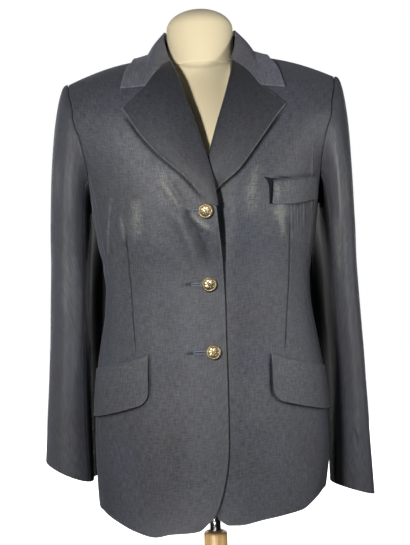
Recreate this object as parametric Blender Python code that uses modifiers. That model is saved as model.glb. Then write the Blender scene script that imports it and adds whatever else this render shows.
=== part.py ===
"""A single-breasted blazer with notched lapels, worn by a limbless dress form on a short wooden stand.

Metres, +Z up, the wearer faces -Y, and the origin is on the floor under the stand. "Right" and "left" in
names are the wearer's. Every cloth piece is a wall cut from one worked-out torso surface, or from a sleeve
tube that grows out of its armhole. Heights in the tables are measured from the lowest point of the hem.
"""

import math

import bpy
import numpy as np
from mathutils import Vector

# Driving sizes
HEM_HEIGHT = 0.240  # the hem's lowest point above the floor
CLOTH = 0.0020  # wall of the body and sleeves: cloth, canvas and lining
FACING_CLOTH = 0.0016  # wall of the lapels and the collar
SEAM_GAP = 0.0008  # between the edges of two pieces that are sewn together
SLEEVE_SEAM_GAP = 0.0015
SHOULDER_SEAM = 0.0009  # how far short of the shoulder line the fronts and backs stop
LAYER_GAP = 0.0005  # between two layers that lie on each other
RIGHT = -1  # the wearer's right is at -X
LEFT = 1

# The torso: a ring at each height, half as wide as half_width and as deep as the two depths
TORSO_COLUMNS = ("height", "half_width", "front_depth", "back_depth")
TORSO = (
    (0.000, 0.1800, 0.1400, 0.1280),
    (0.060, 0.1845, 0.1380, 0.1300),
    (0.125, 0.1855, 0.1355, 0.1310),
    (0.190, 0.1835, 0.1325, 0.1270),
    (0.240, 0.1790, 0.1295, 0.1190),
    (0.290, 0.1705, 0.1270, 0.1070),
    (0.330, 0.1640, 0.1250, 0.0985),
    (0.361, 0.1620, 0.1245, 0.0945),
    (0.395, 0.1645, 0.1270, 0.0955),
    (0.435, 0.1715, 0.1330, 0.1010),
    (0.475, 0.1775, 0.1390, 0.1080),
    (0.510, 0.1825, 0.1420, 0.1130),
    (0.545, 0.1925, 0.1430, 0.1165),
    (0.594, 0.2165, 0.1430, 0.1180),
    (0.650, 0.2400, 0.1430, 0.1180),
    (0.700, 0.2430, 0.1430, 0.1180),
)
RING_POWER = 2.3  # 2 would be an ellipse
CHEST_HEIGHT = 0.510  # the front starts to round towards the shoulder here
BLADE_HEIGHT = 0.580  # and the back here
SHOULDER_LEVEL = 0.715  # average height of the shoulder, which scales the rounding
NECK_HALF_WIDTH = 0.070
NECK_POINT_HEIGHT = 0.727
NAPE_HEIGHT = 0.703
SHOULDER_DROP = 1.136
SHOULDER_BEND = 1.77
BUST_FULLNESS = 0.007
BUST_X = 0.088
BUST_HEIGHT = 0.470
BUST_WIDTH = 0.052
BUST_TALLNESS = 0.060

# The armhole from the shoulder down, on the front and on the back: distance from the middle, and height
ARMHOLE_FRONT = (
    (0.2125, 0.6900), (0.2060, 0.6690), (0.1980, 0.6360),
    (0.1890, 0.6000), (0.1825, 0.5700), (0.1795, 0.5450),
)
ARMHOLE_BACK = (
    (0.2125, 0.6900), (0.2080, 0.6650), (0.2010, 0.6300),
    (0.1935, 0.5950), (0.1870, 0.5680), (0.1815, 0.5450),
)
ARMHOLE_NOTCH = 0.545  # where the side seams meet it
ARMHOLE_BOTTOM = 0.494
ARMHOLE_MIDDLE = 0.592
ARMHOLE_DIP = (0.0, -0.012)  # angle and level by which its curve sinks between notch and bottom
SIDE_SEAM_AT_HEM = math.radians(70)
SEAM_ROWS = 19
ARMHOLE_ROWS = 9
BACK_SEAM_AT_HEM = math.radians(112)

# The front edge and the break line, over which the lapel rolls: reach past the middle, and height
FRONT_EDGE = (
    (-0.0050, 0.0250), (0.0060, 0.0440), (0.0143, 0.0720), (0.0199, 0.1000), (0.0228, 0.1300),
    (0.0238, 0.1800), (0.0240, 0.2800), (0.0243, 0.3450), (0.0222, 0.4000), (0.0192, 0.4450),
)
BREAK_LINE = {
    RIGHT: (
        (0.0158, 0.4830), (0.0128, 0.5085), (0.0052, 0.5416), (-0.0030, 0.5700),
        (-0.0138, 0.6076), (-0.0246, 0.6410), (-0.0376, 0.6850), (-0.0474, 0.7115),
    ),
    LEFT: (
        (0.0158, 0.4780), (0.0075, 0.5050), (-0.0072, 0.5480), (-0.0177, 0.5855),
        (-0.0340, 0.6390), (-0.0430, 0.6720), (-0.0476, 0.6930), (-0.0490, 0.7100),
    ),
}
NECK_POINT = (-0.0730, 0.7268)
HEM_FRONT = {
    RIGHT: (
        (0.0050, 0.0250), (0.0245, 0.0100), (0.0660, 0.0050), (0.0900, 0.0000),
        (0.1200, 0.0060), (0.1450, 0.0150), (0.1700, 0.0250),
    ),
    LEFT: (
        (0.0050, 0.0250), (0.0200, 0.0165), (0.0340, 0.0165), (0.0705, 0.0220),
        (0.1080, 0.0262), (0.1326, 0.0290), (0.1500, 0.0370), (0.1700, 0.0480),
    ),
}
HEM_SIDE_SEAM = {RIGHT: 0.0255, LEFT: 0.0490}
HEM_BACK_SEAM = {RIGHT: 0.0230, LEFT: 0.0380}
HEM_MIDDLE_BACK = 0.0200
HEM_TUCK = 0.009  # how far the left side leans in at the hem
HEM_TUCK_FROM = 0.110

# How far the buttoned right front stands off the left one
OVERLAP_START = -0.075
OVERLAP_FULL = -0.028
OVERLAP_LIFT = CLOTH + LAYER_GAP + 0.0001
CROSSING_LIFT = 0.0062  # more where the left lapel passes under it
CROSSING_HEIGHT = 0.520
CROSSING_TALLNESS = 0.060
GAPE = 0.0075  # the edge stands out below the top button
GAPE_HEIGHT = 0.452
GAPE_TALLNESS = 0.060

# The lapels, in the same measures as the front edge
LAPEL_EDGE = {
    RIGHT: (
        (0.0035, 0.4860), (-0.0070, 0.4987), (-0.0240, 0.5193),
        (-0.0693, 0.5626), (-0.0960, 0.5960), (-0.1185, 0.6320),
    ),
    LEFT: (
        (0.0040, 0.4830), (-0.0060, 0.4930), (-0.0180, 0.5060),
        (-0.0523, 0.5360), (-0.0805, 0.5735), (-0.1240, 0.6310),
    ),
}
LAPEL_NOTCH = {RIGHT: (-0.0845, 0.6650), LEFT: (-0.0885, 0.6612)}
LAPEL_REST = 0.0024  # the lapel's visible face above the front, near its edge
LAPEL_LOFT = 0.0045  # and how much more in the middle
ROLL_RADIUS = 0.0038
FACING_TURN = 0.006  # the facing goes on inside the front this far

# The collar's lines, from the middle of the back to its front end: x, y and height, or x and height
COLLAR_ROLL = (
    (0.0, 0.0665, 0.7600), (0.0330, 0.0560, 0.7640), (0.0575, 0.0220, 0.7700),
    (0.0600, -0.0060, 0.7620), (0.0555, -0.0330, 0.7360), (0.0480, -0.0500, 0.7150),
)
COLLAR_EDGE_BACK = ((0.0, 0.6960), (0.0500, 0.7010), (0.0850, 0.7120))
COLLAR_EDGE_FRONT = {
    RIGHT: ((0.1070, 0.7130), (0.1150, 0.6960), (0.1215, 0.6650)),
    LEFT: ((0.1080, 0.7120), (0.1170, 0.6940), (0.1248, 0.6592)),
}
COLLAR_RIDGE = ((0.0990, 0.012), (0.1050, -0.012))  # x and y of its outer edge over the shoulder
COLLAR_REST = 0.0034
COLLAR_LOFT = 0.006
COLLAR_ROLL_RADIUS = 0.0028
STAND_HEIGHT = 0.030
COLLAR_STAND_LEAN = 0.0015
GORGE_ARCH = 0.0065

# The sleeves below the arm: each ring's middle, its half sizes, its twist, and how far its back is tucked in
SLEEVE_COLUMNS = ("height", "middle_x", "middle_y", "half_width", "half_depth", "twist", "tuck")
SLEEVE = {
    RIGHT: (
        (0.455, 0.2155, 0.004, 0.0330, 0.0680, 6, 0.022),
        (0.400, 0.2175, 0.004, 0.0325, 0.0665, 8, 0.050),
        (0.350, 0.2195, 0.003, 0.0325, 0.0650, 9, 0.064),
        (0.290, 0.2215, 0.001, 0.0325, 0.0625, 10, 0.062),
        (0.230, 0.2240, -0.001, 0.0335, 0.0600, 10, 0.050),
        (0.160, 0.2265, -0.003, 0.0350, 0.0570, 12, 0.043),
        (0.075, 0.2290, -0.006, 0.0370, 0.0545, 18, 0.040),
    ),
    LEFT: (
        (0.455, 0.2100, 0.004, 0.0275, 0.0690, 0, 0.018),
        (0.400, 0.2115, 0.004, 0.0265, 0.0675, 0, 0.042),
        (0.350, 0.2135, 0.004, 0.0265, 0.0660, 0, 0.052),
        (0.290, 0.2165, 0.002, 0.0265, 0.0635, 0, 0.048),
        (0.230, 0.2190, 0.000, 0.0265, 0.0610, -2, 0.032),
        (0.140, 0.2205, -0.003, 0.0280, 0.0580, -3, 0.022),
        (0.035, 0.2210, -0.006, 0.0320, 0.0550, -4, 0.014),
    ),
}
CUFF = {RIGHT: (0.078, 0.40, -0.05), LEFT: (0.036, -0.28, -0.12)}  # height, rise outward, rise backward
BICEP_HEIGHT = 0.455
FOREARM_SEAM = math.radians(-38)
ELBOW_SEAM = math.radians(232)
SEAM_CROWDING = 0.085  # the columns stand closer together at a sleeve's seams
CAP_REACH_TOP = 0.070
CAP_REACH_BOTTOM = 0.012

# The pocket flaps, as distance from the middle and height
HIP_FLAP = {
    RIGHT: {
        "top_front": (0.0910, 0.2680), "top_back": (0.1760, 0.2430),
        "bottom_back": (0.1810, 0.1680), "bottom_front": (0.0915, 0.1960),
    },
    LEFT: {
        "top_front": (0.0900, 0.2640), "top_back": (0.1760, 0.2370),
        "bottom_back": (0.1810, 0.1690), "bottom_front": (0.0900, 0.1960),
    },
}
CHEST_FLAP = {
    "top_front": (0.1010, 0.5180), "top_back": (0.1690, 0.5270),
    "bottom_back": (0.1700, 0.4940), "bottom_front": (0.0995, 0.4840),
}
HIP_FLAP_CORNER = 0.016
CHEST_FLAP_CORNER = 0.002
FLAP_CLOTH = 0.0020
FLAP_STAND_OFF = 0.0022

# Columns: x, height, and a seat that makes up for the front's flat facets
BUTTONS = ((0.0010, 0.4760, -0.0002), (0.0020, 0.3690, 0.0007), (0.0050, 0.2690, 0.0002))
BUTTON_RADIUS = 0.0115
BUTTON_HEIGHT = 0.0055
SHANK_RADIUS = 0.0030
SHANK_LENGTH = 0.0020

# The dress form and its stand
FORM_CLEARANCE = 0.0030  # between the form and the cloth on the shoulders
FORM_SLACK = 0.0080  # how much further the form stays inside the cloth lower down
FORM_CHEST_SLACK = 0.0055  # and under the lapels
FORM_BOTTOM = 0.090
ARM_PLATE_X = 0.1715  # at the armhole's bottom
ARM_PLATE_SLOPE = 0.180
NECK_RADIUS = 0.0530
NECK_Y = 0.004
NECK_TOP = 0.8060
NECK_DOME = 0.032
NECK_NARROWS = 0.735  # hidden in the collar
NECK_RADIUS_LOW = 0.0450
NECK_FROM = 0.640
ROD_RADIUS = 0.0085
POST_RADIUS = 0.0185
POST_TOP = 0.212
POST_BORE = 0.0122
BASE_RADIUS = 0.165
BASE_THICKNESS = 0.024

CLOTH_COLOUR = (0.075, 0.078, 0.090)
FORM_COLOUR = (0.86, 0.78, 0.60)
BRASS_COLOUR = (0.62, 0.46, 0.20)
STEEL_COLOUR = (0.62, 0.62, 0.62)
WOOD_COLOUR = (0.72, 0.47, 0.20)


def column(table, names, name):
    """One named column of a table, as an array."""
    return np.array([row[names.index(name)] for row in table], float)


def smooth(xs, ys, at):
    """A smooth curve through the points, with no overshoot between them: a monotone cubic."""
    xs, ys, at = np.asarray(xs, float), np.asarray(ys, float), np.asarray(at, float)
    steps, slopes = np.diff(xs), np.diff(ys) / np.diff(xs)
    tangents = np.empty_like(ys)
    tangents[0], tangents[-1] = slopes[0], slopes[-1]
    product = slopes[:-1] * slopes[1:]
    total = slopes[:-1] + slopes[1:]
    safe = np.where(np.abs(total) < 1e-12, 1.0, total)
    tangents[1:-1] = np.where(product > 0, 2 * product / safe, 0.0)
    at = np.clip(at, xs[0], xs[-1])
    i = np.clip(np.searchsorted(xs, at, side="right") - 1, 0, len(steps) - 1)
    t = (at - xs[i]) / steps[i]
    return (
        ys[i] * (1 + 2 * t) * (1 - t) ** 2
        + ys[i + 1] * t * t * (3 - 2 * t)
        + steps[i] * (tangents[i] * t * (1 - t) ** 2 - tangents[i + 1] * t * t * (1 - t))
    )


def ease(value, low, high):
    """0 below low, 1 above high, and an S between them."""
    t = np.clip((value - low) / (high - low), 0, 1)
    return t * t * (3 - 2 * t)


def unit(vectors):
    return vectors / np.maximum(np.linalg.norm(vectors, axis=-1, keepdims=True), 1e-12)


def power(value, exponent):
    """A power that keeps the value's sign."""
    return np.sign(value) * np.abs(value) ** exponent


def torso_column(name, level):
    return smooth(column(TORSO, TORSO_COLUMNS, "height"), column(TORSO, TORSO_COLUMNS, name), level)


def shoulder_line(x):
    """Height of the shoulder seam at this distance from the middle."""
    beyond_neck = np.clip(np.abs(x) - NECK_HALF_WIDTH, 0, None)
    return NECK_POINT_HEIGHT - SHOULDER_DROP * beyond_neck**SHOULDER_BEND


def rounding_start(angle):
    return CHEST_HEIGHT + (BLADE_HEIGHT - CHEST_HEIGHT) * (1 - np.cos(angle)) / 2


def top_level(angle):
    """The level at which the torso surface reaches the shoulder seam."""
    start = rounding_start(angle)
    return start + (SHOULDER_LEVEL - start) * math.pi / 2


def torso_surface(angle, level):
    """The jacket's outer surface on its left half. Angle 0 is the middle of the front, 90 degrees the side.

    The level is the height up to the chest. Above it the ring leans in by a quarter of an ellipse, and at
    top_level it has closed on the shoulder seam.
    """
    start = rounding_start(angle)
    lean = np.clip((level - start) / (SHOULDER_LEVEL - start), 0, math.pi / 2)
    x = torso_column("half_width", level) * power(np.sin(angle), 2 / RING_POWER)
    height = np.where(level > start, start + (shoulder_line(x) - start) * np.sin(lean), level)
    front = np.cos(angle) > 0
    depth = np.where(front, torso_column("front_depth", level), torso_column("back_depth", level))
    y = -depth * power(np.cos(angle), 2 / RING_POWER) * np.cos(lean)
    bust_across, bust_up = (np.abs(x) - BUST_X) / BUST_WIDTH, (height - BUST_HEIGHT) / BUST_TALLNESS
    bust = np.exp(-(bust_across**2) - bust_up**2)
    y = y - np.where(front, BUST_FULLNESS * bust * np.abs(np.cos(angle)), 0)
    return np.stack([x, y, height], axis=-1)


def torso_normal(angle, level):
    step = 1e-4
    around = torso_surface(angle + step, level) - torso_surface(angle - step, level)
    up = torso_surface(angle, level) - torso_surface(angle, level - step)
    return unit(np.cross(around, up))


def torso(chart, out=0.0):
    """Points over the torso surface at charted (angle, level), this far out of it."""
    angle, level = chart[..., 0], chart[..., 1]
    return torso_surface(angle, level) + torso_normal(angle, level) * np.asarray(out)[..., None]


def chart(x, height, back=False):
    """The (angle, level) of the surface point at this distance from the middle and this height."""
    x, height = np.broadcast_arrays(np.asarray(x, float), np.asarray(height, float))
    angle = np.full(x.shape, math.pi * 0.75 if back else math.pi * 0.25)
    for _ in range(30):
        start = rounding_start(angle)
        share = np.clip((height - start) / (shoulder_line(x) - start), 0, 1)
        level = np.where(height > start, start + (SHOULDER_LEVEL - start) * np.arcsin(share), height)
        reach = np.clip(x / torso_column("half_width", level), -1, 1)
        found = np.arcsin(power(reach, RING_POWER / 2))
        angle = math.pi - found if back else found
    return np.stack([angle, level], axis=-1)


def line_chart(points, back=False):
    points = np.array(points, float)
    return chart(points[:, 0], points[:, 1], back)


def by_level(line, levels):
    """A charted line, which rises, read at these levels."""
    line = line[np.argsort(line[:, 1])]
    return np.stack([smooth(line[:, 1], line[:, 0], levels), levels], axis=-1)


def by_length(line, count, shares=None):
    """A line of points read at equal shares of its length."""
    line = np.asarray(line, float)
    length = np.concatenate([[0], np.cumsum(np.linalg.norm(np.diff(line, axis=0), axis=1))])
    shares = np.linspace(0, 1, count) if shares is None else np.asarray(shares)
    places = shares * length[-1]
    return np.stack([smooth(length, line[:, k], places) for k in range(line.shape[1])], axis=-1)


def patch(first, last, bottom, top):
    """A Coons patch: rows run from the first line to the last, and fit the bottom and the top line."""
    rows, columns = len(first), len(bottom)
    v = np.linspace(0, 1, rows)[:, None, None]
    u = np.linspace(0, 1, columns)[None, :, None]
    across = (1 - u) * first[:, None] + u * last[:, None]
    up = (1 - v) * bottom[None] + v * top[None]
    corners = (1 - v) * ((1 - u) * bottom[0] + u * bottom[-1]) + v * ((1 - u) * top[0] + u * top[-1])
    return across + up - corners


def armhole_edge(back=False):
    """The charted armhole from the panel's side seam up to the shoulder."""
    table = ARMHOLE_BACK if back else ARMHOLE_FRONT
    line = line_chart(table, back)[::-1]
    line[-1, 1] = top_level(line[-1, 0])
    return line


def seam_levels(start, line, seam_rows, arm_rows):
    """Row levels along a panel's outer side: even ones up the side seam, then even ones up the armhole."""
    seam = np.linspace(start, ARMHOLE_NOTCH, seam_rows)
    return np.concatenate([seam, np.linspace(ARMHOLE_NOTCH, line[-1, 1], arm_rows + 1)[1:]])


def panel_gap(angle, sign):
    """An angle moved by half a seam gap."""
    return angle + sign * SEAM_GAP / 2 / 0.13


def inner_edge(side):
    """The charted front edge, then the break line, up to the neck point."""
    line = line_chart([(-x, height) for x, height in FRONT_EDGE + BREAK_LINE[side] + (NECK_POINT,)])
    line[-1, 1] = top_level(line[-1, 0])
    return line


def outer_side(hem_end, arm, levels, sign):
    """A panel's charted outer side at these levels: straight up the side seam, then round the armhole."""
    up_seam = np.clip((levels - hem_end[1]) / (arm[0, 1] - hem_end[1]), 0, 1)
    on_seam = hem_end[0] + up_seam * (arm[0, 0] - hem_end[0])
    angles = np.where(levels <= arm[0, 1], on_seam, smooth(arm[:, 1], arm[:, 0], levels))
    return np.stack([panel_gap(angles, sign), levels], axis=-1)


def front_chart(side, columns):
    """A front from its edge and break line to the side seam and armhole, up to the shoulder seam."""
    inner = inner_edge(side)
    arm = armhole_edge()
    seam = np.array([(SIDE_SEAM_AT_HEM, HEM_SIDE_SEAM[side])])
    levels = seam_levels(HEM_SIDE_SEAM[side], arm, SEAM_ROWS, ARMHOLE_ROWS)
    shares = (levels - levels[0]) / (levels[-1] - levels[0])
    first = by_level(inner, inner[0, 1] + shares * (inner[-1, 1] - inner[0, 1]))
    last = outer_side(seam[0], arm, levels, -1)
    across = np.linspace(0, 1, columns)
    hem = line_chart(HEM_FRONT[side])
    hem_angles = first[0, 0] + across * (last[0, 0] - first[0, 0])
    bottom = np.stack([hem_angles, smooth(hem[:, 0], hem[:, 1], hem_angles)], axis=-1)
    bottom[0], bottom[-1] = first[0], last[0]
    top_angles = first[-1, 0] + across * (last[-1, 0] - first[-1, 0])
    top = np.stack([top_angles, top_level(top_angles) - SHOULDER_SEAM], axis=-1)
    first[-1], last[-1] = top[0], top[-1]
    return patch(first, last, bottom, top)


def side_chart(side, columns):
    """The side panel, between the front and the back, up to the bottom of the armhole."""
    front_end, back_end = armhole_edge()[0], armhole_edge(back=True)[0]
    shares = np.linspace(0, 1, SEAM_ROWS)[:, None]
    seam = np.array([SIDE_SEAM_AT_HEM, HEM_SIDE_SEAM[side]])
    back_seam = np.array([BACK_SEAM_AT_HEM, HEM_BACK_SEAM[side]])
    first = seam + shares * (front_end - seam)
    last = back_seam + shares * (back_end - back_seam)
    first[:, 0] = panel_gap(first[:, 0], 1)
    last[:, 0] = panel_gap(last[:, 0], -1)
    middle = np.array([math.pi / 2, ARMHOLE_BOTTOM])
    to_front, to_back = (first[-1] + middle) / 2 + ARMHOLE_DIP, (last[-1] + middle) / 2 + ARMHOLE_DIP
    curve = [first[-1], to_front, middle, to_back, last[-1]]
    return patch(first, last, by_length([first[0], last[0]], columns), by_length(curve, columns))


def back_chart(side, columns):
    """Half of the back, from the side seam and armhole to the middle seam, under the collar at the neck."""
    arm = armhole_edge(back=True)
    levels = seam_levels(HEM_BACK_SEAM[side], arm, SEAM_ROWS, ARMHOLE_ROWS)
    shares = (levels - levels[0]) / (levels[-1] - levels[0])
    rows = len(levels)
    first = outer_side(np.array([BACK_SEAM_AT_HEM, HEM_BACK_SEAM[side]]), arm, levels, 1)
    neck = chart(0.0012, NAPE_HEIGHT, back=True)
    middle_gap = 0.0008
    middle_levels = HEM_MIDDLE_BACK + shares * (neck[1] - HEM_MIDDLE_BACK)
    last = np.stack([np.full(rows, math.pi - middle_gap), middle_levels], axis=-1)
    neck_point = chart(-NECK_POINT[0], NECK_POINT[1], back=True)
    neck_point[1] = top_level(neck_point[0]) - SHOULDER_SEAM
    across = np.linspace(0, 1, columns)
    first[-1, 1] -= SHOULDER_SEAM
    shoulder_share = 0.62
    on_shoulder = np.minimum(across / shoulder_share, 1)[:, None]
    on_neck = ease(across, shoulder_share, 1.0)[:, None]
    top = first[-1] + on_shoulder * (neck_point - first[-1])
    top[:, 1] = np.minimum(top[:, 1], top_level(top[:, 0]) - SHOULDER_SEAM)
    top = top + on_neck * (last[-1] - neck_point)
    return patch(first, last, by_length([first[0], last[0]], columns), top)


def over_lift(x, height):
    """How far the right front stands out, over the left one. x is the true x."""
    near = ease(x, OVERLAP_START, OVERLAP_FULL)
    crossing = CROSSING_LIFT * np.exp(-(((height - CROSSING_HEIGHT) / CROSSING_TALLNESS) ** 2))
    gape = GAPE * np.exp(-(((height - GAPE_HEIGHT) / GAPE_TALLNESS) ** 2)) * ease(x, -0.050, 0.025)
    return near * (OVERLAP_LIFT + crossing) * (1 - ease(height, 0.60, 0.68)) + gape


def lifted(side, grid, out=0.0):
    """The charted points as places on that side, over whatever the front of that side lies on."""
    points = torso(grid)
    if side == RIGHT:
        front = (grid[..., 0] < math.pi / 2) * 1.0
        out = out + front * over_lift(-points[..., 0], points[..., 2])
    points = torso(grid, np.broadcast_to(out, grid.shape[:-1]))
    if side == LEFT:
        lean = HEM_TUCK * (1 - ease(points[..., 2], 0.02, HEM_TUCK_FROM)) * np.sin(grid[..., 0]) ** 6
        points[..., 0] -= lean
    return points * (side, 1, 1)


def lifted_normal(side, grid):
    """The way the lifted front faces at each charted point."""
    step = 1e-3
    around = lifted(side, grid + (step, 0)) - lifted(side, grid - (step, 0))
    up = lifted(side, grid + (0, step)) - lifted(side, grid - (0, step))
    return unit(np.cross(around, up)) * side


def gorge(side, shares):
    """The seam between lapel and collar, from the roll at the neck out to the notch, in a low arch."""
    start = np.array(COLLAR_ROLL[-1]) * (side, 1, 1)
    notch = line_chart([(-LAPEL_NOTCH[side][0], LAPEL_NOTCH[side][1])])
    end = lifted(side, notch, COLLAR_REST + 0.001)[0]
    across = lifted_normal(side, notch)[0] * GORGE_ARCH
    shares = shares[:, None]
    return start + shares * (end - start) + across * np.sin(math.pi * shares)


def lapel_grid(side, rows, columns, corner):
    """The lapel's visible face. Each row starts inside the front, rolls round its edge and crosses the chest.

    In a row, the roll is half a circle about the front's edge, and the rest keeps a low arch over the chest.
    The top row follows the gorge out to the notch, which is the corner column.
    """
    roll = line_chart([(-x, height) for x, height in (BREAK_LINE[side][0], BREAK_LINE[side][-1])])
    edge = line_chart([(-x, height) for x, height in LAPEL_EDGE[side]])
    notch = line_chart([(-LAPEL_NOTCH[side][0], LAPEL_NOTCH[side][1])])[0]
    first = by_level(inner_edge(side), np.linspace(roll[0, 1], roll[-1, 1], rows))
    last = by_length(edge, rows)
    across = np.linspace(0, 1, columns)
    to_notch = np.linspace(0, 1, corner + 1)[:, None]
    to_tip = np.linspace(0, 1, columns - corner)[1:, None]
    top = np.concatenate([first[-1] + to_notch * (notch - first[-1]), notch + to_tip * (last[-1] - notch)])
    bottom = first[0] + across[:, None] * (last[0] - first[0])
    flat = patch(first, last, bottom, top)
    up = np.linspace(0, 1, rows)[:, None]
    arch = np.sin(math.pi * across) ** 0.8 * (0.05 + 0.95 * up**0.7)
    face = lifted(side, flat, LAPEL_REST + LAPEL_LOFT * arch)
    seam = gorge(side, to_notch[:, 0])
    downward = unit(face[-2, : corner + 1] - face[-1, : corner + 1])
    move = np.zeros((columns, 3))
    move[: corner + 1] = seam + downward * SEAM_GAP - face[-1, : corner + 1]
    move[corner + 1 :] = move[corner] * (1 - to_tip)
    face = face + ease(up, 0.6, 1.0)[..., None] * move
    base = lifted(side, first)
    normal = lifted_normal(side, first)
    along = unit(np.gradient(base, axis=0))
    outward = unit(np.cross(normal, along) * side)
    centre = base - normal * (CLOTH / 2) - outward * 0.0008
    inside = [centre - outward * turn - normal * ROLL_RADIUS for turn in (FACING_TURN, FACING_TURN / 2)]
    turns = np.radians([-90, -60, -30, 0, 30, 60, 90])
    circle = [(math.cos(t) * ROLL_RADIUS, math.sin(t) * ROLL_RADIUS) for t in turns]
    wrap = np.stack(inside + [centre + outward * c + normal * s for c, s in circle], axis=1)
    return np.concatenate([wrap, face[:, 1:]], axis=1)


def collar_lines(side, count):
    """The collar's roll line and outer edge, from the middle of the back to the front end."""
    roll = by_length(COLLAR_ROLL, count)
    back = torso(line_chart(COLLAR_EDGE_BACK, back=True), np.full(3, COLLAR_REST))
    front = torso(line_chart(COLLAR_EDGE_FRONT[side]), np.full(3, COLLAR_REST))
    over = [(x, y, shoulder_line(x) + COLLAR_REST) for x, y in COLLAR_RIDGE]
    edge = by_length(np.concatenate([back, over, front]), count)
    return roll * (side, 1, 1), edge * (side, 1, 1)


def collar_half(side, count, columns, corner):
    """Half of the collar's visible face: up the stand, over the roll and down the fall.

    Its front end follows the gorge out to the notch, which is the corner column, and then goes to the tip.
    """
    roll, edge = collar_lines(side, count)
    across = np.linspace(0, 1, columns)[:, None]
    to_notch = np.linspace(0, 1, corner + 1)
    to_tip = np.linspace(0, 1, columns - corner)[1:, None]
    backward = unit(roll[-2] - roll[-1])
    seam = gorge(side, to_notch) + backward * SEAM_GAP * (3 - 2 * to_notch[:, None])
    end = np.concatenate([seam, seam[-1] + to_tip * (edge[-1] - seam[-1])])
    roll[-1] = end[0]
    start = roll[0] + across * (edge[0] - roll[0])
    fall = patch(roll, edge, start, end)
    away = unit(np.cross(np.gradient(fall, axis=0), np.gradient(fall, axis=1)) * side)
    fade = 1 - ease(np.linspace(0, 1, count), 0.75, 1.0)[:, None, None]
    fall = fall + away * COLLAR_LOFT * np.sin(math.pi * across)[None] * fade
    tangent = unit(np.gradient(roll, axis=0))
    outward = unit(unit(edge - roll) * (1, 1, 0))
    up = unit(np.cross(tangent, outward) * side)
    up = np.where(up[:, 2:3] < 0, -up, up)
    centre = roll - outward * COLLAR_ROLL_RADIUS
    turns = np.radians([180, 145, 110, 75, 40])
    circle = [(math.cos(t) * COLLAR_ROLL_RADIUS, math.sin(t) * COLLAR_ROLL_RADIUS) for t in turns]
    over = [centre + outward * c + up * s for c, s in circle]
    tall = np.linspace(1, 0.06, count)[:, None] * STAND_HEIGHT
    inset = {share: COLLAR_ROLL_RADIUS - COLLAR_STAND_LEAN * share for share in (1, 0.5)}
    stand = [centre - outward * inset[share] - up * tall * share for share in inset]
    return np.concatenate([np.stack(stand + over, axis=1), fall], axis=1)


def collar_grid(count, columns, corner):
    right = collar_half(RIGHT, count, columns, corner)
    left = collar_half(LEFT, count, columns, corner)
    middle = (right[:1] + left[:1]) / 2
    return np.concatenate([left[:0:-1], middle, right[1:]], axis=0)


def armhole_loop(side, turns):
    """The armhole's points, normals and inward directions, read at angles round it: 0 front, 90 top."""
    front, back = armhole_edge()[::-1], armhole_edge(back=True)
    bottom = np.array([(math.pi / 2, ARMHOLE_BOTTOM)])
    to_front, to_back = (front[-1] + bottom[0]) / 2 + ARMHOLE_DIP, (back[0] + bottom[0]) / 2 + ARMHOLE_DIP
    down = [front, [to_front], bottom, [to_back], back]
    line = np.concatenate(down)
    dense = by_length(line, 160)
    level = np.minimum(dense[:, 1], top_level(dense[:, 0]) - SHOULDER_SEAM)
    points = torso_surface(dense[:, 0], level)
    normals = torso_normal(dense[:, 0], level)
    along = unit(np.gradient(points, axis=0))
    inward = unit(np.cross(normals, along))
    centre = np.array([0.2, 0.0, ARMHOLE_MIDDLE])
    wrong_way = ((centre - points) * (0, 1, 1) * inward).sum(1, keepdims=True) < 0
    inward = np.where(wrong_way, -inward, inward)
    tall, deep = 0.098, 0.072
    around = np.arctan2((points[:, 2] - ARMHOLE_MIDDLE) / tall, -points[:, 1] / deep)
    around = np.where(around > math.pi / 2 + 1e-6, around - 2 * math.pi, around)
    order = np.argsort(-around)
    around, stacked = around[order], np.concatenate([points, normals, inward], axis=1)[order]
    wrapped = np.where(turns > math.pi / 2, turns - 2 * math.pi, turns)
    read = np.stack([np.interp(-wrapped, -around, stacked[:, k]) for k in range(9)], axis=-1)
    mirror = (side, 1, 1)
    return read[:, :3] * mirror, unit(read[:, 3:6] * mirror), unit(read[:, 6:] * mirror)


def sleeve_ring(side, height, turns):
    """The sleeve's outline at a height: an oval, turned by its twist, its back half tucked in."""
    table = SLEEVE[side][::-1]
    heights = column(table, SLEEVE_COLUMNS, "height")
    read = {name: smooth(heights, column(table, SLEEVE_COLUMNS, name), height) for name in SLEEVE_COLUMNS[1:]}
    out = read["half_width"] * np.sin(turns)
    back = -read["half_depth"] * np.cos(turns)
    twist = np.radians(read["twist"])
    x = out * np.cos(twist) + back * np.sin(twist)
    y = back * np.cos(twist) - out * np.sin(twist)
    x = x - read["tuck"] * np.clip(y / read["half_depth"], 0, None) ** 2
    return side * (read["middle_x"] + x), read["middle_y"] + y


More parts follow.
